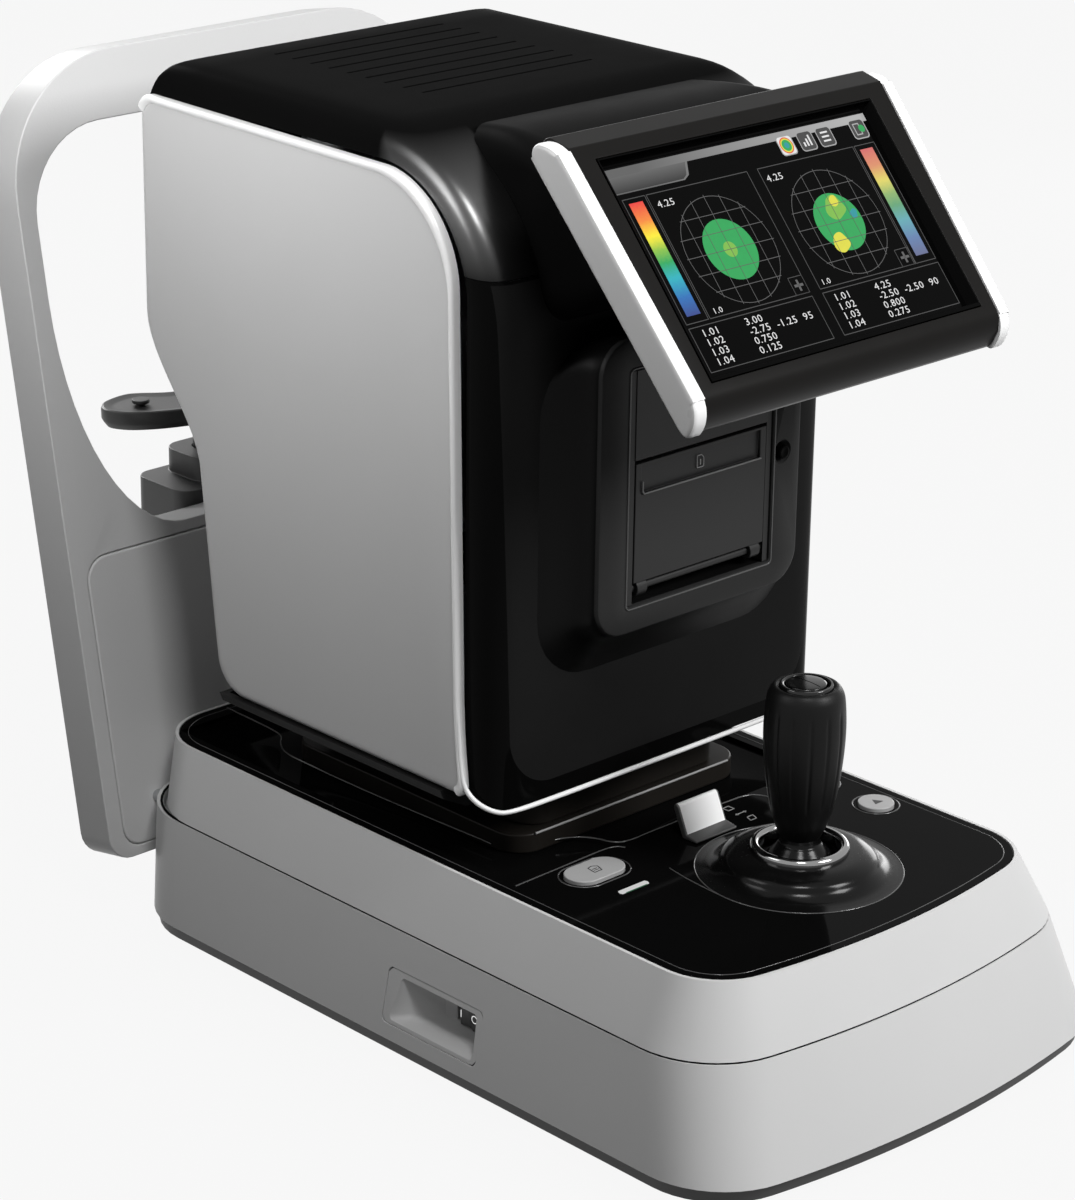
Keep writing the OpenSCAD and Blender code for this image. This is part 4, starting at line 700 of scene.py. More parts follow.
def makeConsoleFinish(v):
    finish = Finish("consoleTwoTone", grey(0.01), 0.36, gloss=0.06)
    face = finish.axes()[1] < (v["front"] + v["face"]) * 0.001
    lighter = finish.blendColour(finish.noise(40.0, 3.0), grey(0.024), grey(0.03))
    finish.set(Base_Color=finish.blendColour(face, grey(0.004), lighter),
               Roughness=0.3 + 0.1 * finish.noise(60.0, 3.0))
    finish.bump(finish.noise(1500.0), 0.15)
    return finish


def makeConsole(v):
    def ring(y, half, low, high, radius):
        return [(x, y, z) for x, z in roundRect(half, low, high, radius)]
    front, half, low, high, corner = (v[key] for key in ("front", "half", "low", "high", "corner"))
    rings = []
    for t in (i / 12 for i in range(13)):
        push = (1 - t) ** 2.6
        rings.append(ring(blend(v["foot"], front + 1.2, t ** 0.85), half + v["swell"] * push, low - 22 * push,
                          high - 5 * push, corner + 16 * push))
    rings.append(ring(front + 0.35, half - 0.35, low + 0.35, high - 0.35, corner))
    rings.append(ring(front, half - 1.2, low + 1.2, high - 1.2, corner - 1.0))
    for inset, deep in ((-0.9, 0.0), (-0.3, 0.25), (0.0, 0.9), (0.0, v["depth"])):
        rings.append(ring(front + deep, v["bayHalf"] - inset, v["bayLow"] + inset, v["bayHigh"] - inset,
                          1.6 - inset))
    mesh = loft("console", rings, (False, False), True, 28.0)
    piece = replacePiece("printerConsole", mesh, "printer_console", "consoleTwoTone")
    knob = span("open_button")
    cx, cz, radius = (knob[0] + knob[3]) / 2, (knob[2] + knob[5]) / 2, (knob[3] - knob[0]) / 2
    dish = [(radius + wider, front + deep) for wider, deep in v["dish"]]
    carve(piece, "dish", turnedAlongY("dish", cx, cz, dish))
    face = [(radius - inset, knob[1] + deep) for inset, deep in v["button"]]
    button = [(radius, knob[4]), *face, (0.4, knob[1] + 0.35)]
    replacePiece("openButton", turnedAlongY("openButton", cx, cz, button), "open_button")
    # a lighter grey line round the bay's edge: painted highlight
    edge = ring(front - 0.05, v["bayHalf"] + 1.1, v["bayLow"] - 1.1, v["bayHigh"] + 1.1, 2.2)
    addBead("bayEdgeHighlight", edge, 0.4, "head", "printer_dark", "edgeGrey")


finishes["consoleTwoTone"] = makeConsoleFinish(console)
makeConsole(console)
print("printer console made")


# ---- printer door: a flat door with a pull across nearly its whole width
doorBox = span("printer_door")
pull = {"reach": doorBox[3] - 3.6, "foot": doorBox[5] - 14.0, "head": doorBox[5] - 1.3,
        "face": doorBox[1] + 0.05}


def makePull(v):
    left, face, foot = -v["reach"], v["face"], v["foot"]
    line = [(left, face, v["head"] - 7.0), (left, face, foot + 1.0), (left + 1.0, face, foot),
            (-left, face, foot)]
    # a lighter grey line down the pull's left side and along its lower edge: painted highlight
    addBead("pullEdgeHighlight", line, 0.45, "printer_door", "printer_dark", "pullLight", False, 8)


dress("printer_door", 0.35, 30.0)
makePull(pull)
dress("printer_frame", 0.3)
print("printer made")


# ---- monitor: a place on its leaning face, by depth behind it and height along it
glassBox = span("screen_panel")
screenPose = {"lean": 41.0, "lower": 1.8, "depth": 5.0, "glass": 8.95,
              "middle": ((glassBox[1] + glassBox[4]) / 2, (glassBox[2] + glassBox[5]) / 2)}
leanSine, leanCosine = math.sin(math.radians(screenPose["lean"])), math.cos(math.radians(screenPose["lean"]))


def screenPoint(depth, high):
    back, up = depth - screenPose["glass"], high + screenPose["lower"]
    return (screenPose["middle"][0] + back * leanCosine + up * leanSine,
            screenPose["middle"][1] - back * leanSine + up * leanCosine)


# a pattern's place across the screen and along its height
def screenAxes(finish):
    x, y, z = finish.axes()
    middleY, middleZ = (part * 0.001 for part in screenPose["middle"])
    return x, (y - middleY) * leanSine + (z - middleZ) * leanCosine


# the cowl that carries the monitor grows out of the head's top and front
cowl = {"foot": headShell["front"] + 1.0, "footDeep": 52.0, "half": 77.0, "low": headShell["split"] - 22.0,
        "top": headShell["top"] - 1.9, "endLow": -4.0, "endHigh": 60.5, "endHalf": 86.0, "endDepth": 19.4,
        "taper": 0.88, "rise": 2.2, "slot": 36.0, "slotHalf": 4.8, "slotRear": span("monitor_hood")[4] - 62.0,
        "pin": (22, 58), "pinRadius": 3.0, "pinHalf": 46.0}


def makeCowl(v):
    rings = []
    for t in (i / 14 for i in range(15)):
        half = blend(v["half"], v["endHalf"], t * t * (3 - 2 * t))
        ring = []
        for x, f in roundRect(1.0, 0.0, 1.0, 0.2, 10):
            footY, footZ = v["foot"] + v["footDeep"] * f ** 1.6, blend(v["low"], v["top"], f)
            endY, endZ = screenPoint(v["endDepth"], blend(v["endLow"], v["endHigh"], f))
            rise = v["rise"] * math.sin(math.pi * min(1.0, t * 1.2)) * f
            wide = half * blend(1.0, blend(v["taper"], 1.0, f), t)
            ring.append((x * wide, blend(footY, endY, t), blend(footZ, endZ, t) + rise))
        rings.append(ring)
    mesh = loft("monitorCowl", rings, (True, True), True, 40.0)
    piece = replacePiece("monitorCowl", mesh, "monitor_hood")
    slotY, slotZ = screenPoint(14.0, 40.0)
    for middle in (-v["slot"], v["slot"]):
        carve(piece, "slot", boxMesh("slot", (middle - v["slotHalf"], slotY - 4, slotZ - 3),
                                     (middle + v["slotHalf"], v["slotRear"], slotZ + 40)))
    ring = circle(*screenPoint(*v["pin"]), v["pinRadius"], 24)
    pin = [[(x, y, z) for y, z in ring] for x in (-v["pinHalf"], v["pinHalf"])]
    addPiece("hingePin", loft("hingePin", pin), "head", "rail_steel")


makeCowl(cowl)
dress("monitor_case", 1.4, 30.0, 4, "caseSheen")
dress("monitor_bezel", 0.3, 30.0)


# the monitor's end caps: silver outside, lighter on the flank
capShape = {"half": 98.95, "drop": 0.0307, "height": 57.0, "flank": 0.75,
            # how deep below its face, and how far in
            "edge": ((7.0, 0.0), (2.4, 0.0), (1.3, 0.25), (0.5, 0.9), (0.1, 1.8), (0.0, 2.8))}


def makeCapFinish(v):
    finish = Finish("capSilver", grey(0.5), 0.3)
    x, high = screenAxes(finish)
    flank = (x.size() - v["drop"] * high - (v["half"] - v["flank"]) * 0.001) > 0.0
    face = finish.blendColour(finish.noise(12.0), grey(0.44), grey(0.5))
    finish.set(Base_Color=finish.blendColour(flank, grey(0.86), face),
               Roughness=0.24 + 0.1 * finish.noise(70.0, 3.0))
    finish.bump(finish.noise(1500.0, 1.0), 0.05)
    return finish


# depth and height of a cap's outline at an inset, with half its height
def capOutline(d, h):
    line = [(d, -h + 5), (d, 0), (d, h - 5), (d + 0.5, h - 1), (3.0 + 0.8 * d, h + 4.4 - 0.6 * d),
            (6.6 + 0.6 * d, h + 8.3 - 0.8 * d), (9.8, h + 9.8 - d), (13.2 - 0.5 * d, h + 9.0 - d),
            (15.4 - d, h + 6.0 - 0.6 * d), (16 - d, h + 1), (16 - d, 0), (16 - d, -h + 6),
            (16 - d, -h - 3), (15.4 - d, -h - 7.5), (13.4 - 0.5 * d, -h - 10.0 + 0.8 * d),
            (10.0, -h - 9.6 + d), (6.0 + 0.4 * d, -h - 7.6 + 0.9 * d), (2.6 + 0.8 * d, -h - 4.0 + 0.6 * d),
            (0.7 + d, -h + 0.6)]
    return smoothLine(line[-1:] + line + line[:2], 4)[4:-5]


def makeCaps(v):
    meshes = []
    for side in (-1, 1):
        rings = []
        for back, inset in v["edge"]:
            rings.append([(side * (v["half"] - back + v["drop"] * high),
                           *screenPoint(depth, high - screenPose["lower"]))
                          for depth, high in capOutline(inset, v["height"])])
        meshes.append(loft("cap", rings, (True, True), True, 28.0))
    replacePiece("endCaps", joinMeshes("endCaps", meshes, 28.0), "end_caps", "capTwoTone")


finishes["capTwoTone"] = makeCapFinish(capShape)
makeCaps(capShape)
print("monitor case made")


# ---- what the screen shows: flat pieces of light just over the glass, a generic layout
def lit(name):
    return Finish(name, grey(0.004), 0.12, Emission_Strength=1.0)


def litEven(name, colour):
    finish = lit(name)
    dim = tuple(part * 0.9 for part in colour)
    finish.set(Emission_Color=finish.blendColour(finish.noise(420.0, 1.0), dim, colour))
    return finish


rainbow = [(0.0, (0.012, 0.04, 0.24)), (0.16, (0.0, 0.14, 0.46)), (0.33, (0.0, 0.42, 0.5)),
           (0.47, (0.0, 0.37, 0.08)), (0.58, (0.24, 0.52, 0.04)), (0.7, (0.95, 0.82, 0.01)),
           (0.84, (0.9, 0.24, 0.02)), (1.0, (0.82, 0.025, 0.02))]


# a bar of the rainbow's colours up the screen, paler by a share
def litRainbow(name, pale, foot=-0.021, length=0.052):
    finish = lit(name)
    band = (screenAxes(finish)[1] - foot) / length + 0.04 * (finish.noise(900.0, 1.0) - 0.5)
    stops = [(at, tuple(blend(part, 0.3, pale) for part in colour)) for at, colour in rainbow]
    finish.set(Emission_Color=finish.add("ShaderNodeValToRGB", {"stops": stops}, {0: band}).outputs[0])
    return finish


# light that changes from one grey to another, across the screen (axis 0) or up it (axis 1)
def litSweep(name, first, last, start, end, axis):
    finish = lit(name)
    share = (screenAxes(finish)[axis] - start * 0.001) / ((end - start) * 0.001)
    finish.set(Emission_Color=finish.blendColour(share.most(0.0).least(1.0), grey(first), grey(last)))
    return finish


litColours = {"litWhite": grey(0.8), "litLine": grey(0.045), "litGrid": grey(0.09), "litKey": grey(0.03),
              "litGreen": (0.0, 0.37, 0.075), "litLime": (0.2, 0.5, 0.05), "litYellow": (0.75, 0.72, 0.04),
              "litTeal": (0.0, 0.3, 0.34), "litRed": (0.75, 0.1, 0.03), "lampWhite": grey(0.62)}
finishes.update({name: litEven(name, colour) for name, colour in litColours.items()})
finishes.update({"litBar": litRainbow("litBar", 0.0), "litBarPale": litRainbow("litBarPale", 0.35),
                 "litTab": litSweep("litTab", 0.012, 0.1, 37.0, 43.6, 1),
                 "litTop": litSweep("litTop", 0.09, 0.42, -60.0, 70.0, 0)})
flats = {}


# each of these adds a flat shape in one finish, lifted off the glass, placed from the screen's middle
def flat(finish, points, lift=0.1):
    depth, lower = screenPose["depth"] - lift, screenPose["lower"]
    flats.setdefault(finish, []).append([(x, *screenPoint(depth, high - lower)) for x, high in points])


def bar(finish, x0, low, x1, high, lift=0.1):
    flat(finish, [(x0, low), (x1, low), (x1, high), (x0, high)], lift)


def frameLine(x0, low, x1, high, wide=0.35, finish="litLine", lift=0.12):
    x0, x1 = min(x0, x1), max(x0, x1)
    for part in ((x0, low, x1, low + wide), (x0, high - wide, x1, high), (x0, low, x0 + wide, high),
                 (x1 - wide, low, x1, high)):
        bar(finish, *part, lift)


def disc(finish, cx, cy, radius, lift=0.1, steps=48, wobble=0.0):
    turns = [2 * math.pi * i / steps for i in range(steps)]
    flat(finish, [(cx + radius * (1 + wobble * math.sin(3 * turn + cx)) * math.cos(turn),
                   cy + radius * (1 + wobble * math.sin(2 * turn)) * math.sin(turn)) for turn in turns], lift)


def cross(finish, cx, cy, wide, high, thick, lift):
    bar(finish, cx - wide, cy - thick, cx + wide, cy + thick, lift)
    bar(finish, cx - thick, cy - high, cx + thick, cy + high, lift)


def gridDisc(cx, cy, radius, pitch=8.2, wide=0.28, steps=64):
    inner, outer = arc(cx, cy, radius, 0, 360, steps), arc(cx, cy, radius + wide, 0, 360, steps)
    for i in range(steps):
        flat("litGrid", [inner[i], outer[i], outer[i + 1], inner[i + 1]], 0.2)
    for at in (i * pitch for i in range(-2, 3)):
        reach = math.sqrt(radius ** 2 - at ** 2) + 1.0
        bar("litGrid", cx + at - wide / 2, cy - reach, cx + at + wide / 2, cy + reach, 0.22)
        bar("litGrid", cx - reach, cy + at - wide / 2, cx + reach, cy + at + wide / 2, 0.22)


def roundFlat(finish, cx, low, wide, high, radius, lift):
    flat(finish, [(cx + x, y) for x, y in roundRect(wide, low, high, radius, 4)], lift)


screenPlot = {
    "eyes": (-33.0, 33.0), "height": 2.2, "radius": 24.5,       # the two grids
    "half": 78.3, "top": (43.6, 47.3),                          # the lit bar over all
    "inner": 3.0, "outer": 76.0, "barWide": 13.0,               # one eye's panes, from the middle
    "pane": (-24.4, 33.5), "table": (-46.3, -26.0), "bar": (-21.0, 31.2),
    "keys": (26.0, 38.4, 50.2, 71.2), "keyFoot": 35.9, "keyHead": 45.3,
    "tab": [(-78.3, 36.6), (-38.5, 36.6), (-35.8, 38.0), (-33.2, 43.6), (-78.3, 43.6)],
    "tabEdge": [(-78.3, 35.9), (-38.0, 35.9), (-34.6, 37.7), (-32.0, 43.6), (-33.2, 43.6), (-35.8, 38.0),
                (-38.5, 36.5), (-78.3, 36.5)],
    # finish, eye, place from its middle, radius, lift, steps and wobble
    "discs": [("litGreen", 0, 0.0, 0.0, 14.0, 0.12, 48, 0.0), ("litLime", 0, -0.2, 0.0, 3.6, 0.14, 24, 0.0),
              ("litGreen", 1, 0.0, 0.0, 13.6, 0.12, 48, 0.0), ("litYellow", 1, -5, -9, 4.6, 0.13, 24, 0.12),
              ("litLime", 1, 1.5, 6.8, 5.6, 0.13, 24, 0.15), ("litYellow", 1, 2.6, 9.6, 2.6, 0.14, 24, 0.1),
              ("litTeal", 1, 10.3, 2.0, 2.2, 0.13, 24, 0.2)],
    "target": [("litRed", 3.9, 0.18), ("litYellow", 3.3, 0.2), ("litGreen", 2.7, 0.22),
               ("litTeal", 1.4, 0.24)],
}


def drawPanes(v):
    bar("litTop", -v["half"], v["top"][0], v["half"], v["top"][1])
    flat("litTab", v["tab"])
    flat("litTop", v["tabEdge"], 0.12)
    for side, middle, bars in zip((-1, 1), v["eyes"], ("litBar", "litBarPale")):
        inner, outer = side * v["inner"], side * v["outer"]
        edge = outer - side * v["barWide"]
        frameLine(outer, v["pane"][0], edge, v["pane"][1])
        frameLine(inner, v["pane"][0], edge - side * 0.6, v["pane"][1])
        frameLine(inner, v["table"][0], outer, v["table"][1])
        near, far = outer - side * 2.6, outer - side * 10.4
        bar(bars, min(near, far), v["bar"][0], max(near, far), v["bar"][1])
        gridDisc(middle, v["height"], v["radius"])
        corner, foot = (inner if side < 0 else edge) - 8.4, v["pane"][0]
        frameLine(corner, foot, corner + 8.4, foot + 8.4, 0.3)
        cross("litGrid", corner + 4.2, foot + 4.2, 2.6, 2.6, 0.6, 0.15)
    for finish, eye, across, up, *rest in v["discs"]:
        disc(finish, v["eyes"][eye] + across, v["height"] + up, *rest)


# four keys: a target, rising bars, a list and a door
def drawKeys(v):
    foot, head, middle = v["keyFoot"], v["keyHead"], (v["keyFoot"] + v["keyHead"]) / 2
    for key, cx in enumerate(v["keys"]):
        roundFlat("litTop", cx, foot, 4.7, head, 1.8, 0.14)
        roundFlat("litKey" if key else "litWhite", cx, foot + 0.5, 4.2, head - 0.5, 1.5, 0.16)
        if key == 0:
            for finish, radius, lift in v["target"]:
                disc(finish, cx, middle, radius, lift, 24)
        elif key == 3:
            frameLine(cx - 2.6, middle - 2.8, cx + 1.2, middle + 2.8, 0.5, "litTop", 0.18)
            disc("litGreen", cx + 1.8, middle, 1.8, 0.2, 20)
        for i in range(3):
            if key == 1:
                left = cx - 2.4 + 1.9 * i
                bar("litWhite", left, middle - 2.4, left + 1.0, middle - 0.4 + 1.5 * i, 0.18)
            elif key == 2:
                low = middle - 2.3 + 2.0 * i
                bar("litWhite", cx - 2.2, low, cx + 2.2, low + 0.8, 0.18)


# flat shapes as one mesh, all facing the same way
def flatMesh(name, shapes, outward):
    points, faces = [], []
    for shape in shapes:
        faces.append(tuple(range(len(points), len(points) + len(shape))))
        points += shape
    mesh = rawMesh(name, points, [], faces)
    mesh.update()
    for polygon in mesh.polygons:
        if polygon.normal.dot(outward) < 0:
            polygon.flip()
    return mesh


drawPanes(screenPlot)
drawKeys(screenPlot)
for finish, shapes in sorted(flats.items()):
    mesh = flatMesh(finish, shapes, Vector((0, -leanCosine, leanSine)))
    addPiece("display" + finish[3:], mesh, "monitor", "screen", (), finish)


# plain figures as flat meshes, stood on the leaning screen
figures = {
    "Left": {"x": -70.5, "range": -59.0, "words": ["3.00", "-2.75  -1.25  95", "0.750", "0.125"]},
    "Right": {"x": 8.0, "range": 5.5, "words": ["4.25", "-2.50  -2.50  90", "0.800", "0.275"]},
    "size": 4.6, "column": 25.0, "top": -31.0, "pitch": 4.4, "wide": 1.2, "space": 1.08, "lift": 0.15,
}


def writeFigures(name, words, x, high, size, v):
    data = bpy.data.curves.new(name, "FONT")
    data.body, data.size, data.resolution_u, data.space_character = words, size, 2, v["space"]
    item = looseObject(name, data)
    mesh = bpy.data.meshes.new_from_object(item.evaluated_get(bpy.context.evaluated_depsgraph_get()))
    bpy.data.objects.remove(item)
    for vertex in mesh.vertices:
        y, z = screenPoint(screenPose["depth"] - v["lift"], high - screenPose["lower"] + vertex.co.y)
        vertex.co = (0.001 * (x + v["wide"] * vertex.co.x), 0.001 * y, 0.001 * z)
    mesh.update()
    addPiece(name, mesh, "monitor", "screen", (), "litWhite")


for side in ("Left", "Right"):
    lines, size = figures[side], figures["size"]
    for row, words in enumerate(lines["words"]):
        end, high = side + str(row), figures["top"] - figures["pitch"] * row
        writeFigures("label" + end, "1.0" + str(row + 1), lines["x"], high, size, figures)
        writeFigures("figure" + end, words, lines["x"] + figures["column"], high, size, figures)
    writeFigures("range" + side, "4.25", lines["range"], 26.6, 4.4, figures)
    writeFigures("pitch" + side, "1.0", lines["range"], -22.8, 3.6, figures)
print("screen drawn")


# ---- joystick
stickBox, ballBox = span("rubber_grip"), span("stick_ball")
ringBox, domeBox = span("joystick_ring"), span("joystick_dome")
axisX, axisY = middleOf(ringBox)
deckBox = span("deck_plate")
deckTop = deckBox[5]


# a solid turned about an upright line, from pairs of a radius and a height
def lathe(name, profile, sharp=32.0, steps=96, centre=(axisX, axisY)):
    rings = [[(x, y, z) for x, y in circle(*centre, max(radius, 0.001), steps)] for radius, z in profile]
    return loft(name, rings, (profile[0][0] < 0.01, profile[-1][0] < 0.01), True, sharp)


grip = {"radius": halfWide(stickBox), "foot": stickBox[2] - 2.0, "height": stickBox[5] - stickBox[2] + 3.0,
        "fluteCount": 14, "fluteDepth": 0.55, "boreRadius": 5.2, "rimShare": 0.67,
        # shares of the radius and the height, from the foot up
        "profile": ((0.5, 0.03), (0.56, 0.06), (0.68, 0.13), (0.8, 0.24), (0.9, 0.38), (0.97, 0.53),
                    (1.0, 0.68), (0.99, 0.8), (0.95, 0.91), (0.89, 0.955), (0.8, 0.983), (0.73, 0.986))}


# the grip's flutes: a geometry node tree draws its side in where a wave round it peaks
def makeGrip(v):
    bore, rim, foot = v["boreRadius"], v["radius"] * v["rimShare"], v["foot"]
    outer = smoothLine([(v["radius"] * wide, foot + v["height"] * high) for wide, high in v["profile"]])
    line = [(bore, foot + 2.2), *outer, (rim, foot + v["height"] * 0.98), (rim, stickBox[5] - 7.0),
            (bore, stickBox[5] - 7.0), (bore, foot + 2.2)]
    flutes = Growth("gripFlutes", **{"Flute count": v["fluteCount"], "Flute depth": v["fluteDepth"] * 0.001,
                                     "Foot": foot * 0.001, "Height": v["height"] * 0.001})
    x, y, z = flutes.split(flutes.add("GeometryNodeInputPosition").outputs[0])
    x, y = x - axisX * 0.001, y - axisY * 0.001
    wave = flutes.calc("COSINE", flutes.calc("ARCTAN2", y, x) * flutes.size("Flute count"))
    groove = flutes.calc("POWER", wave.most(0.0), 6.0)
    away = ((z - flutes.size("Foot")) / flutes.size("Height") - 0.55).size()
    window = flutes.add("ShaderNodeMapRange", {"interpolation_type": "SMOOTHSTEP"}, {
        "Value": away, "From Min": 0.33, "From Max": 0.25, "To Min": 0.0, "To Max": 1.0})
    reach = flutes.calc("SQRT", x * x + y * y)
    depth = groove * window.outputs[0] * (flutes.size("Flute depth") * (reach > v["radius"] * 0.00055))
    scale = depth * -1.0 / reach
    offset = flutes.add("ShaderNodeCombineXYZ", {}, {"X": x * scale, "Y": y * scale})
    moved = flutes.add("GeometryNodeSetPosition", {}, {
        "Geometry": flutes.inputs.outputs[0], "Offset": offset.outputs[0]})
    flutes.finish(moved.outputs[0], "rubber_black")
    mesh = flutes.grow("rubberGrip", lathe("grip", line, 40.0, 224))
    replacePiece("rubberGrip", mesh, "rubber_grip")


stickTop = {"dome": 1.0, "groove": 0.3, "grooveDepth": 0.7,
            # the cap's edge: how far in, and how far below its top
            "cap": ((0, 8), (0, 0.6), (0.35, 0.1), (0.9, 0), (1.7, 0.1), (2.3, 0.7), (2.5, 1.6), (2.5, 6.4))}


def makeStickTop(v):
    capBox, buttonBox = span("grip_cap"), span("measure_button")
    radius, top = halfWide(capBox), capBox[5]
    cap = [(radius - inset, top - down) for inset, down in v["cap"]]
    cap += [(0.0, top - 6.4), (0.0, top - 8), (radius, top - 8)]
    replacePiece("gripCap", lathe("gripCap", cap, 40.0), "grip_cap", "capGloss")
    radius, foot, top, dome = halfWide(buttonBox), buttonBox[2], buttonBox[5], v["dome"]
    line = [(0.0, foot), (radius, foot), (radius, top - dome - 0.5), (radius - 0.2, top - dome)]
    line += [(0.97 * radius * x, top - dome + dome * z) for x, z in arc(0, 0, 1.0, 0, 90, 9)]
    button = replacePiece("measureButton", lathe("measureButton", line, 40.0), "measure_button", "capGloss")
    carve(button, "split", boxMesh("split", (axisX - v["groove"], axisY - radius - 2, top - v["grooveDepth"]),
                                   (axisX + v["groove"], axisY + radius + 2, top + 2)))


stickFoot = {"ball": ballBox[3] - axisX, "pivot": 92.0, "neck": 8.4, "neckTop": stickBox[2] + 2.6,
             "stalk": 4.9, "ring": halfWide(ringBox), "ringRoll": 2.1,
             "bulge": 14.0, "hem": halfWide(domeBox)}


def makeStickFoot(v):
    pivot, neck, neckTop = v["pivot"], v["neck"], v["neckTop"]
    ball = arc(0, pivot, v["ball"], -66, 48, 19)
    rise = smoothLine([ball[-1], (10.0, pivot + 14.2), (8.9, pivot + 15.6), (neck, neckTop - 0.4)], 4)[1:]
    stalk = [(neck, neckTop), (v["stalk"], neckTop), (v["stalk"], ballBox[5]), (0.0, ballBox[5])]
    line = [(0.0, pivot - 19.0), (4.0, pivot - 19.0), (4.0, pivot - 16.0), *ball, *rise, *stalk]
    replacePiece("stickBall", lathe("stickBall", line, 34.0), "stick_ball", "domeGloss")
    ring, top, roll = v["ring"], ringBox[5], v["ringRoll"]
    line = [(ring, top - 6.0), (ring, top - 3.4), *arc(ring - roll, top - roll, roll, 0, 180, 12),
            (ring - 2 * roll - 0.05, top - 6.0), (ring, top - 6.0)]
    replacePiece("joystickRing", lathe("joystickRing", line, 40.0), "joystick_ring")
    hem, high, bulge = v["hem"], domeBox[5], v["bulge"]
    drop = high - deckTop - 2.4
    bell = [(ring + 0.05 + bulge * x, high - drop * (1 - z)) for z, x in arc(0, 0, 1.0, 0, 81, 9)[::3]]
    bell = smoothLine([*bell, (ring + bulge + 3.4, deckTop + 1.1), (hem - 3.0, deckTop + 0.35),
                       (hem, deckTop + 0.1)], 6)
    line = [*bell, (hem, deckTop + 0.02), (ring + bulge * 0.8, deckTop + 0.05), (ring + 0.05, high - 3.0),
            bell[0]]
    replacePiece("joystickDome", lathe("joystickDome", line, 34.0), "joystick_dome", "domeGloss")


makeGrip(grip)
makeStickTop(stickTop)
makeStickFoot(stickFoot)
print("joystick made")


# ---- deck: fine lines, signs and lamps on its glossy top
deckLine = {
    "width": deckBox[3] - deckBox[0] + 4, "front": deckBox[1] - 2, "rear": deckBox[4] + 2, "corner": 32.0,
    "sag": 12.9, "inset": 6.2, "border": 0.22, "seam": 0.3, "line": 0.45,
    "tail": [(0.0, -4), (0.4, 12), (1.6, 26), (3.6, 38)],     # from the dome's left side
    "track": [(deckBox[0] + 8, -91.2), (-70, -90.6), (-38, -90.0), (-31.5, -94.6)],
    "ledge": [(-63.6, -66.4), (-50, -67.4), (-40, -72.0), (-34.4, -79.0), (-31.5, -86.6), (-25.0, -90.2),
              (-8.0, -90.2), (36.0, -90.2), (50.0, -91.4), (55.0, -95.4), (57.0, -101.0)],
    "rearTrack": [(61.0, 149.0), (61.4, 130.0), (62.0, 115.0), (64.0, 105.0), (70.0, 98.0), (75.0, 88.0),
                  (76.2, 70.0), (76.0, 20.0), (73.0, -52.0)],
}


def deckBead(name, points, lift, radius, closed=True):
    line = [(x, y, deckTop + lift) for x, y in points]
    addBead(name, line, radius, "stage", "gloss_black", "edgeGloss", closed)


def makeDeckLines(v):
    dress("deck_plate", 1.1, 30.0, 3)
    rim = planOutline(v["width"], v["front"], v["rear"], v["corner"], v["inset"], v["sag"])
    deckBead("deckBorder", rim, -0.05, v["border"])
    hem = stickFoot["hem"]
    deckBead("domeSeam", circle(axisX, axisY, hem + 0.1, 96), 0.02, v["seam"])
    tail = smoothLine([(axisX - hem + x, axisY + y) for x, y in v["tail"]])
    deckBead("domeTail", tail, -0.08, v["seam"], False)
    lines = {"deckTrack": v["track"], "deckLedge": v["ledge"],
             "rearTrack0": [(-x, y) for x, y in v["rearTrack"]], "rearTrack2": v["rearTrack"]}
    for name, points in lines.items():
        deckBead(name, smoothLine(points), -0.1, v["line"], False)


# flat shapes raised a little, from a height or stood where a matrix puts them
def sign(name, body, z, shapes, finish="signGrey", height=0.12, stand=None):
    points, faces = [], []
    for shape in shapes:
        count = len(shape)
        low = list(range(len(points), len(points) + count))
        high = [i + count for i in low]
        points += [(x, y, z) for x, y in shape] + [(x, y, z + height) for x, y in shape]
        faces += [tuple(reversed(low)), tuple(high)]
        faces += [(low[i - 1], low[i], high[i], high[i - 1]) for i in [*range(1, count), 0]]
    mesh = reshape(rawMesh(name, points, [], faces), pointOutwards)
    if stand:
        mesh.transform(stand)
    addPiece(name, mesh, body, "button_grey", (), finish)


# a closed line of the given width, as one quad for each side, moved to a place
def outlineSign(points, wide, cx=0.0, cy=0.0):
    parts = []
    for i, (x0, y0) in enumerate(points):
        x1, y1 = points[(i + 1) % len(points)]
        length = math.hypot(x1 - x0, y1 - y0)
        nx, ny = (y1 - y0) / length * wide / 2, -(x1 - x0) / length * wide / 2
        quad = [(x0 - nx, y0 - ny), (x1 - nx, y1 - ny), (x1 + nx, y1 + ny), (x0 + nx, y0 + ny)]
        parts.append([(cx + x, cy + y) for x, y in quad])
    return parts


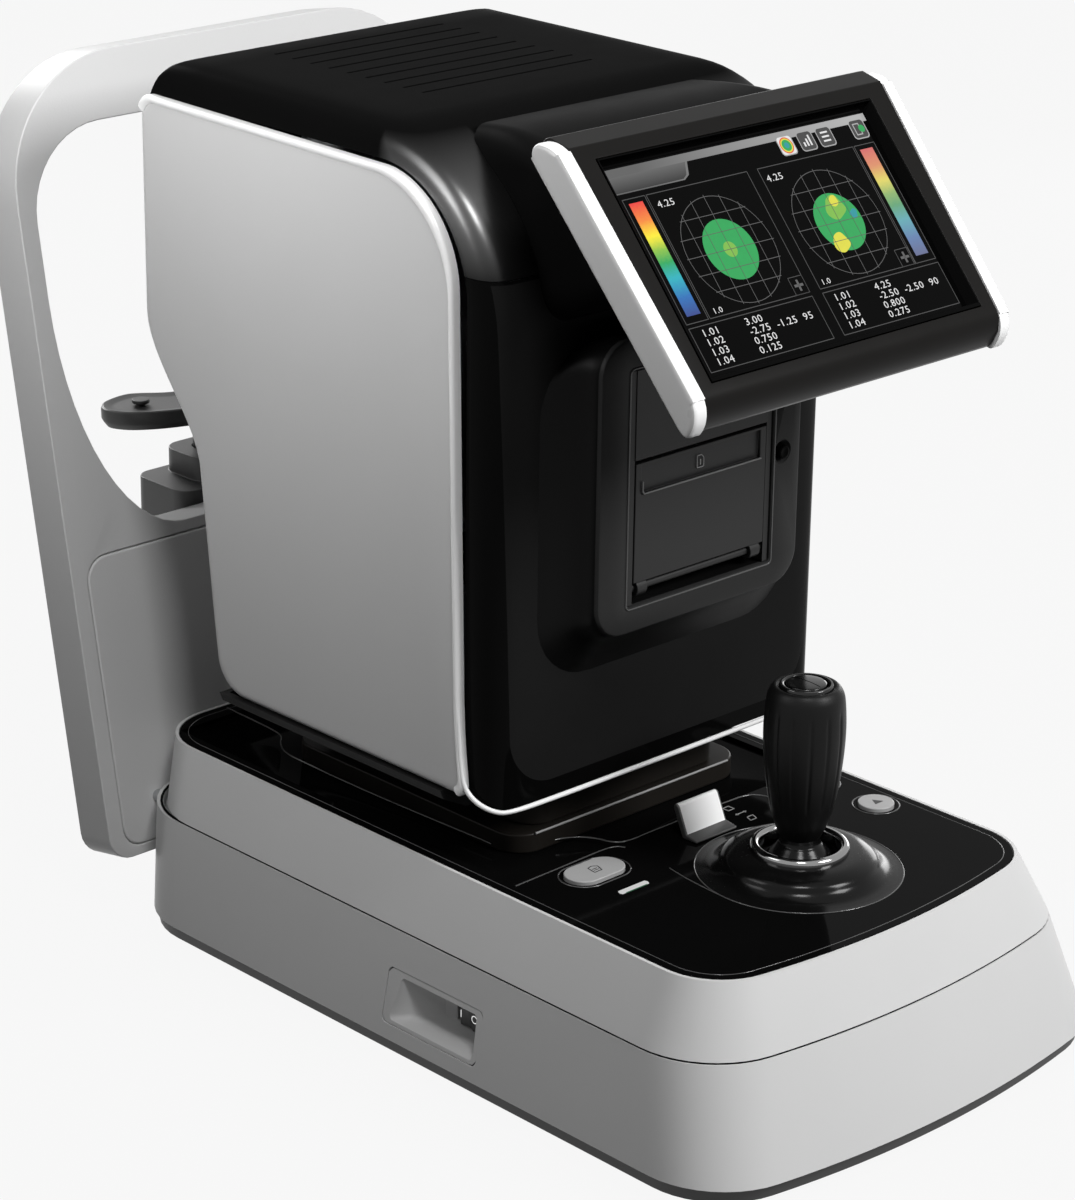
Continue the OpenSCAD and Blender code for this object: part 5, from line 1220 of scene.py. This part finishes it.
deckSigns = {
    "sink": 0.02, "line": 0.45, "ring": 0.35, "ringGap": 1.0,
    "sheet": [(-2.4, -2.6), (2.0, -2.6), (3.2, 1.4), (0.8, 3.0), (-1.8, 2.2)],
    "rule": [(-1.2, -1.2), (1.6, -1.2), (1.7, -0.8), (-1.1, -0.8)], "ruleStep": 1.2,
    "arrow": [(-2.6, -2.0), (2.6, -2.0), (0.0, 2.4)],
    "lamp": [(-66.5, -128.2), (-50.5, -128.2), (-50.0, -126.8), (-50.5, -125.4), (-66.5, -125.4),
             (-67.0, -126.8)],
    "lock": [(-2.6, -1.8), (1.2, -1.8), (1.2, 1.8), (-2.6, 1.8)], "lockY": -96.0,
    "freed": [(-2.6, -1.8), (1.2, -1.8), (2.6, 1.8), (-1.2, 1.8)], "freedY": -110.0,
    "between": [[(-2.8, -102.9), (-2.8, -103.4), (2.8, -103.4), (2.8, -102.9)],
                [(-3.6, -103.2), (-2.2, -104.2), (-2.2, -102.2)],
                [(3.6, -103.2), (2.2, -102.2), (2.2, -104.2)]],
    "dish": [(0.0, 0.9), (4.0, 0.75), (6.6, 0.3), (7.4, 0.0)], "dishPlace": (5.5, -126.4),
    "ticket": [(-2.0, -2.6), (2.0, -2.6), (2.0, 1.4), (0.6, 2.9), (-2.0, 2.9)],
    "slit": [(-0.3, -1.6), (0.3, -1.6), (0.3, 1.0), (-0.3, 1.0)],
}


def makeDeckSigns(v):
    printBox, line = span("print_button"), v["line"]
    px, py = middleOf(printBox)
    sheet = [(px + x, py + y) for x, y in v["sheet"]]
    rules = [[(px + x, py + y + step) for x, y in v["rule"]] for step in (0.0, v["ruleStep"])]
    sign("printSign", "print_button", printBox[5] - v["sink"], outlineSign(sheet, line) + rules, "signDark")
    for name, turn in (("chin_up_button", 1), ("chin_down_button", -1)):
        (cx, cy), top = middleOf(span(name)), span(name)[5]
        arrow = [(cx + x, cy + y * turn) for x, y in v["arrow"]]
        sign(name + "Sign", name, top - v["sink"], [arrow], "signDark")
    for number, box in enumerate((span("chin_up_button"), span("chin_down_button"))):
        ring = circle(*middleOf(box), halfWide(box) + v["ringGap"], 48)
        deckBead("chinRing" + str(number), ring, 0.0, v["ring"])
    half, wide = halfWide(printBox) + v["ringGap"], (printBox[4] - printBox[1]) / 2 + v["ringGap"]
    ring = arc(px + half - wide, py, wide, -90, 90, 20) + arc(px - half + wide, py, wide, 90, 270, 20)
    deckBead("printRing", ring, 0.0, v["ring"])
    sign("statusLamp", "stage", deckTop - 0.05, [v["lamp"]], "lampWhite", 0.55)
    right = span("lock_tab")[3] + 14
    arrows = [[(right + x, y) for x, y in shape] for shape in v["between"]]
    sign("lockSigns", "stage", deckTop - v["sink"], outlineSign(v["lock"], line, right, v["lockY"]) + arrows
         + outlineSign(v["freed"], line, right, v["freedY"]))
    # the thumb dimple is a low pale grey disc on the black deck: painted highlight
    dish = smoothLine(v["dish"], 4)[::-1]
    profile = [(0.0, deckTop + 0.02), (dish[0][0], deckTop + 0.06)]
    profile += [(wide, deckTop + 0.06 + high * 0.3) for wide, high in dish]
    dimple = lathe("dimple", profile, 40.0, 48, v["dishPlace"])
    addPiece("thumbDimple", dimple, "stage", "gloss_black", (), "signGrey")
    place = Matrix.Translation((0.0, (doorBox[1] + 1.62) * 0.001, (doorBox[5] - 7.6) * 0.001))
    sign("doorSign", "printer_door", 0.0, outlineSign(v["ticket"], 0.4) + [v["slit"]], "signGrey", 0.15,
         place @ Matrix.Rotation(math.radians(90), 4, "X"))


# the lock tab: pale, with painted shade on its low ledge (up to thick) and in a band (border wide) along each
# side
def makeTabFinish(box, border=0.0009, thick=2.6):
    finish = Finish("tabTwoTone", grey(0.8), 0.36)
    x, z = finish.axes()[::2]
    inside = (x - middleOf(box)[0] * 0.001).size() < halfWide(box) * 0.001 - border
    face = inside * (z > (deckTop + thick) * 0.001)
    pale = finish.blendColour(finish.noise(30.0), grey(0.82), grey(0.88))
    finish.set(Base_Color=finish.blendColour(face, grey(0.05), pale),
               Roughness=0.3 + 0.08 * finish.noise(90.0))
    return finish


makeDeckLines(deckLine)
makeDeckSigns(deckSigns)
finishes["tabTwoTone"] = makeTabFinish(span("lock_tab"))
dress("lock_tab", 0.9, 30.0, 3, "tabTwoTone")
dress("stage_block", 1.0, 30.0, 3, "blockSheen")
dress("column_shroud", 1.0, 30.0, 3, "blockSheen")
blockBox = span("stage_block")
# a pale grey line along the stage block's top front edge: painted highlight
edge = [(x, blockBox[1] - 0.05, blockBox[5] - 0.1) for x in (blockBox[0] + 11.0, blockBox[3] - 11.0)]
addBead("blockEdgeHighlight", edge, 0.55, "stage", "satin_black", "signGrey", False)
print("deck dressed")


# ---- base: its shells, the line round the split and the signs on the rocker
baseBox, upperBox, rockerBox = span("base_lower_shell"), span("base_upper_shell"), span("power_rocker")
baseTrim = {"plan": (upperBox[3] * 2, upperBox[1], upperBox[4], 42.0, 0.75, 14.7),  # for planOutline
            "high": (baseBox[5] + upperBox[2]) / 2, "seam": 0.62, "ring": 1.7, "stroke": (4.0, 4.5, 1.8)}


def makeBaseTrim(v):
    dress("base_lower_shell", 1.0, 30.0, 3)
    dress("base_upper_shell", 1.2, 30.0, 3)
    y, z = (rockerBox[1] + rockerBox[4]) / 2, (rockerBox[2] + rockerBox[5]) / 2
    near, far, tall = v["stroke"]
    stroke = [(y + near, z - tall), (y + far, z - tall), (y + far, z + tall), (y + near, z + tall)]
    marks = outlineSign(circle(y - 4.4, z, v["ring"], 24), 0.45) + [stroke]
    shapes = [[(rockerBox[0] - 0.05, *place) for place in shape] for shape in marks]
    mesh = flatMesh("rockerSigns", shapes, Vector((-1, 0, 0)))
    addPiece("rockerSigns", mesh, "power_rocker", "switch_black", (), "litWhite")
    line = [(x, y, v["high"]) for x, y in planOutline(*v["plan"])]
    addBead("baseSeam", line, v["seam"], "base", "plinth_dark", "seamDark", True, 8)


makeBaseTrim(baseTrim)
# the head pan, grey by its slot, is made dark where it lies in shadow under the side panels: painted shade;
# the rear cover takes the same dark finish as its own colour
dress("head_pan", 1.2, 30.0, 3, "panShade")
dress("patient_cover", 1.0, 30.0, 2, "panShade")


# ---- arch: soft edges all round, like the moulding it is
dress("arch_frame", 3.2, 40.0, 4)
dress("skirt_cover", 2.0, 40.0, 3)
dress("chin_housing", 4.5, 35.0, 4)
trayBox, screwBox = span("chin_tray"), span("chin_screw")
tray = {
    "half": trayBox[3], "front": trayBox[1] + 0.2, "rear": trayBox[4] - 0.3, "top": trayBox[5],
    "stemHalf": 15.0, "stemDeep": 9.0, "stemCorner": 6.0, "stemMiddle": (screwBox[1] + screwBox[4]) / 2,
    # its outline: a share of the half width, with how far from the front, or from the rear
    "ahead": ((0.0, 0.0), (0.34, 3.0), (0.64, 9.0), (0.87, 17.5), (0.975, 27.0), (0.965, 34.5), (0.87, 41.0)),
    "behind": ((0.72, 0.5), (0.58, 0.2), (0.47, 3.4), (0.27, 11.6), (0.0, 15.6)),
    # its edge and its dish: inset, and how far below the top
    "edge": ((6.0, 10.5), (2.6, 9.8), (0.9, 7.5), (0.1, 6.0), (0.0, 1.6), (0.4, 0.5), (1.2, 0.05), (2.2, 0.1),
             (4.5, 0.9), (6.5, 0.9)),
}


def insetLine(points, inset):
    line = []
    for i, (x, y) in enumerate(points):
        (x0, y0), (x1, y1) = points[i - 1], points[(i + 1) % len(points)]
        length = math.hypot(x1 - x0, y1 - y0)
        line.append((x - inset * (y1 - y0) / length, y + inset * (x1 - x0) / length))
    return line


def makeTray(v):
    half = [(v["half"] * share, v["front"] + y) for share, y in v["ahead"]]
    half += [(v["half"] * share, v["rear"] - y) for share, y in v["behind"]]
    half = smoothLine([(-half[1][0], half[1][1]), *half, (-half[-2][0], half[-2][1])], 5)[5:-5]
    outline = half + [(-x, y) for x, y in reversed(half[1:-1])]
    rings = [[(x, y, v["top"] - down) for x, y in insetLine(outline, inset)] for inset, down in v["edge"]]
    section = roundRect(v["stemHalf"], -v["stemDeep"], v["stemDeep"], v["stemCorner"])
    ends = trayBox[2], v["top"] - v["edge"][0][1] + 1.0
    stem = [[(x, v["stemMiddle"] + y, z) for x, y in section] for z in ends]
    mesh = joinMeshes("chinTray", [loft("tray", rings), loft("stem", stem)], 32.0)
    replacePiece("chinTray", mesh, "chin_tray")


makeTray(tray)
print("base and arch dressed")


# ---- forehead pad: a soft cushion blown up inside its CAD space
padBox = [part * 0.001 for part in span("forehead_pad")]
pad = {"inset": 0.0022, "pressure": 4.0, "most": 0.003, "voxel": 0.004, "frames": 20, "margin": 0.0001}


def makePad(v):
    mesh = reshape(joinMeshes("foreheadPad", [nodes["forehead_pad"].data]), mergeDoubles)
    for vertex in mesh.vertices:
        for i in range(3):
            low, high = padBox[i], padBox[i + 3]
            middle, share = (low + high) / 2, 1 - 2 * v["inset"] / (high - low)
            vertex.co[i] = middle + (vertex.co[i] - middle) * share
    piece = looseObject("foreheadPad", mesh)
    remesh = piece.modifiers.new("voxels", "REMESH")
    remesh.mode, remesh.voxel_size, remesh.use_smooth_shade = "VOXEL", v["voxel"], True
    plainMesh(piece)
    start = [vertex.co.copy() for vertex in piece.data.vertices]
    scene = bpy.context.scene
    cloth = piece.modifiers.new("air", "CLOTH")
    cloth.settings.use_pressure, cloth.settings.uniform_pressure_force = True, v["pressure"]
    cloth.settings.effector_weights.gravity = 0.0
    for frameNumber in range(1, v["frames"] + 1):
        scene.frame_set(frameNumber)
    plainMesh(piece)
    scene.frame_set(1)
    for vertex, before in zip(piece.data.vertices, start):
        step = vertex.co - before
        vertex.co = before + step * min(1.0, v["most"] / max(step.length, 1e-9))
        for i in range(3):
            vertex.co[i] = min(max(vertex.co[i], padBox[i] + v["margin"]), padBox[i + 3] - v["margin"])
    smoother = piece.modifiers.new("rounded", "SUBSURF")
    smoother.levels = smoother.render_levels = 1
    plainMesh(piece)
    piece.data.materials.clear()
    piece.data.materials.append(finishes["padVinyl"].material)
    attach(piece, "base")
    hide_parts("forehead_pad")
    made.add("forehead_pad")


makePad(pad)
print("forehead pad made")


for name in nodes:
    if name not in made:
        dress(name)
print("nodes dressed")


# ---- camera, floor and light
cameraView = {"eye": (-1.0938, -1.1405, 0.7776), "turn": 43.883, "tip": 20.815, "roll": 0.820, "lens": 123.2}


def aimCamera(v):
    turn, tip, roll = (math.radians(v[key]) for key in ("turn", "tip", "roll"))
    ahead = Vector((math.sin(turn) * math.cos(tip), math.cos(turn) * math.cos(tip), -math.sin(tip)))
    right = Vector((math.cos(turn), -math.sin(turn), 0.0))
    above = right.cross(ahead)
    side = right * math.cos(roll) + above * math.sin(roll)
    above = above * math.cos(roll) - right * math.sin(roll)
    data = bpy.data.cameras.new("camera")
    data.sensor_fit, data.sensor_width, data.lens = "HORIZONTAL", 36.0, v["lens"]
    data.clip_start, data.clip_end = 0.05, 50.0
    camera = looseObject("camera", data)
    camera.matrix_world = Matrix.Translation(v["eye"]) @ Matrix((side, above, -ahead)).transposed().to_4x4()
    bpy.context.scene.camera = camera


seenRays = ("Is Camera Ray", "Is Glossy Ray", "Is Transmission Ray")


# a white floor where it is seen, and a dim one where it lights the object
def makeFloor(half=9.0, glowShare=0.92):
    mesh = bpy.data.meshes.new("floor")
    corners = [(-half, -half, 0), (half, -half, 0), (half, half, 0), (-half, half, 0)]
    mesh.from_pydata(corners, [], [(0, 1, 2, 3)])
    paint = Finish("floorWhite", grey(0.13), 0.9)
    camera, glossyRay, through = (paint.add("ShaderNodeLightPath").outputs[key] for key in seenRays)
    seen = Value(paint, camera) + glossyRay + through
    glow = paint.add("ShaderNodeEmission", {}, {"Color": grey(1.0), "Strength": 1.0})
    mix = paint.add("ShaderNodeMixShader", {}, {
        0: seen * glowShare, 1: paint.shader.outputs[0], 2: glow.outputs[0]})
    paint.put(paint.output.inputs["Surface"], mix.outputs[0])
    mesh.materials.append(paint.material)
    looseObject("floor", mesh)


def softBox(name, place, aim, width, height, power, spread=180.0):
    data = bpy.data.lights.new(name, "AREA")
    data.shape, data.size, data.size_y = "RECTANGLE", width, height
    data.energy, data.spread = power, math.radians(spread)
    lamp = looseObject(name, data)
    lamp.location, lamp.visible_camera = place, False
    lamp.rotation_euler = (Vector(aim) - Vector(place)).to_track_quat("-Z", "Y").to_euler()


def lightWorld(horizon=0.0, zenith=0.08, level=0.925):
    world = bpy.data.worlds.new("studio")
    bpy.context.scene.world = world
    world.use_nodes = True
    studio = Plan(world.node_tree)
    high = studio.split(studio.add("ShaderNodeTexCoord").outputs["Generated"])[2]
    ramp = studio.add("ShaderNodeMapRange", {}, {"Value": high, "To Min": horizon, "To Max": zenith})
    ray, strength = studio.add("ShaderNodeLightPath"), Value(studio, ramp.outputs[0])
    for key in seenRays:  # white where it is seen
        strength = strength.most(ray.outputs[key])
    light = studio.add("ShaderNodeBackground", {}, {"Color": grey(level), "Strength": strength})
    studio.add("ShaderNodeOutputWorld", {}, {"Surface": light.outputs[0]})


aimCamera(cameraView)
makeFloor()
lightWorld()
softBox("keyRight", (0.45, -1.2, 1.1), (0.0, -0.1, 0.14), 0.5, 0.5, 20.0)
softBox("fillLeft", (-0.46, 0.1, 0.6), (-0.1, 0.06, 0.5), 0.26, 0.26, 0.62, 95.0)
softBox("topLight", (-0.42, -0.66, 1.35), (-0.05, -0.05, 0.38), 0.3, 0.3, 7.5)
softBox("rearLight", (0.35, 1.6, 0.9), (0.0, 0.15, 0.22), 0.6, 0.6, 12.0)
softBox("lowRight", (1.6, 0.5, 0.3), (0.0, 0.0, 0.2), 0.6, 0.5, 4.0)
bpy.context.scene.view_settings.view_transform = "Standard"
print("camera, floor and light ready")
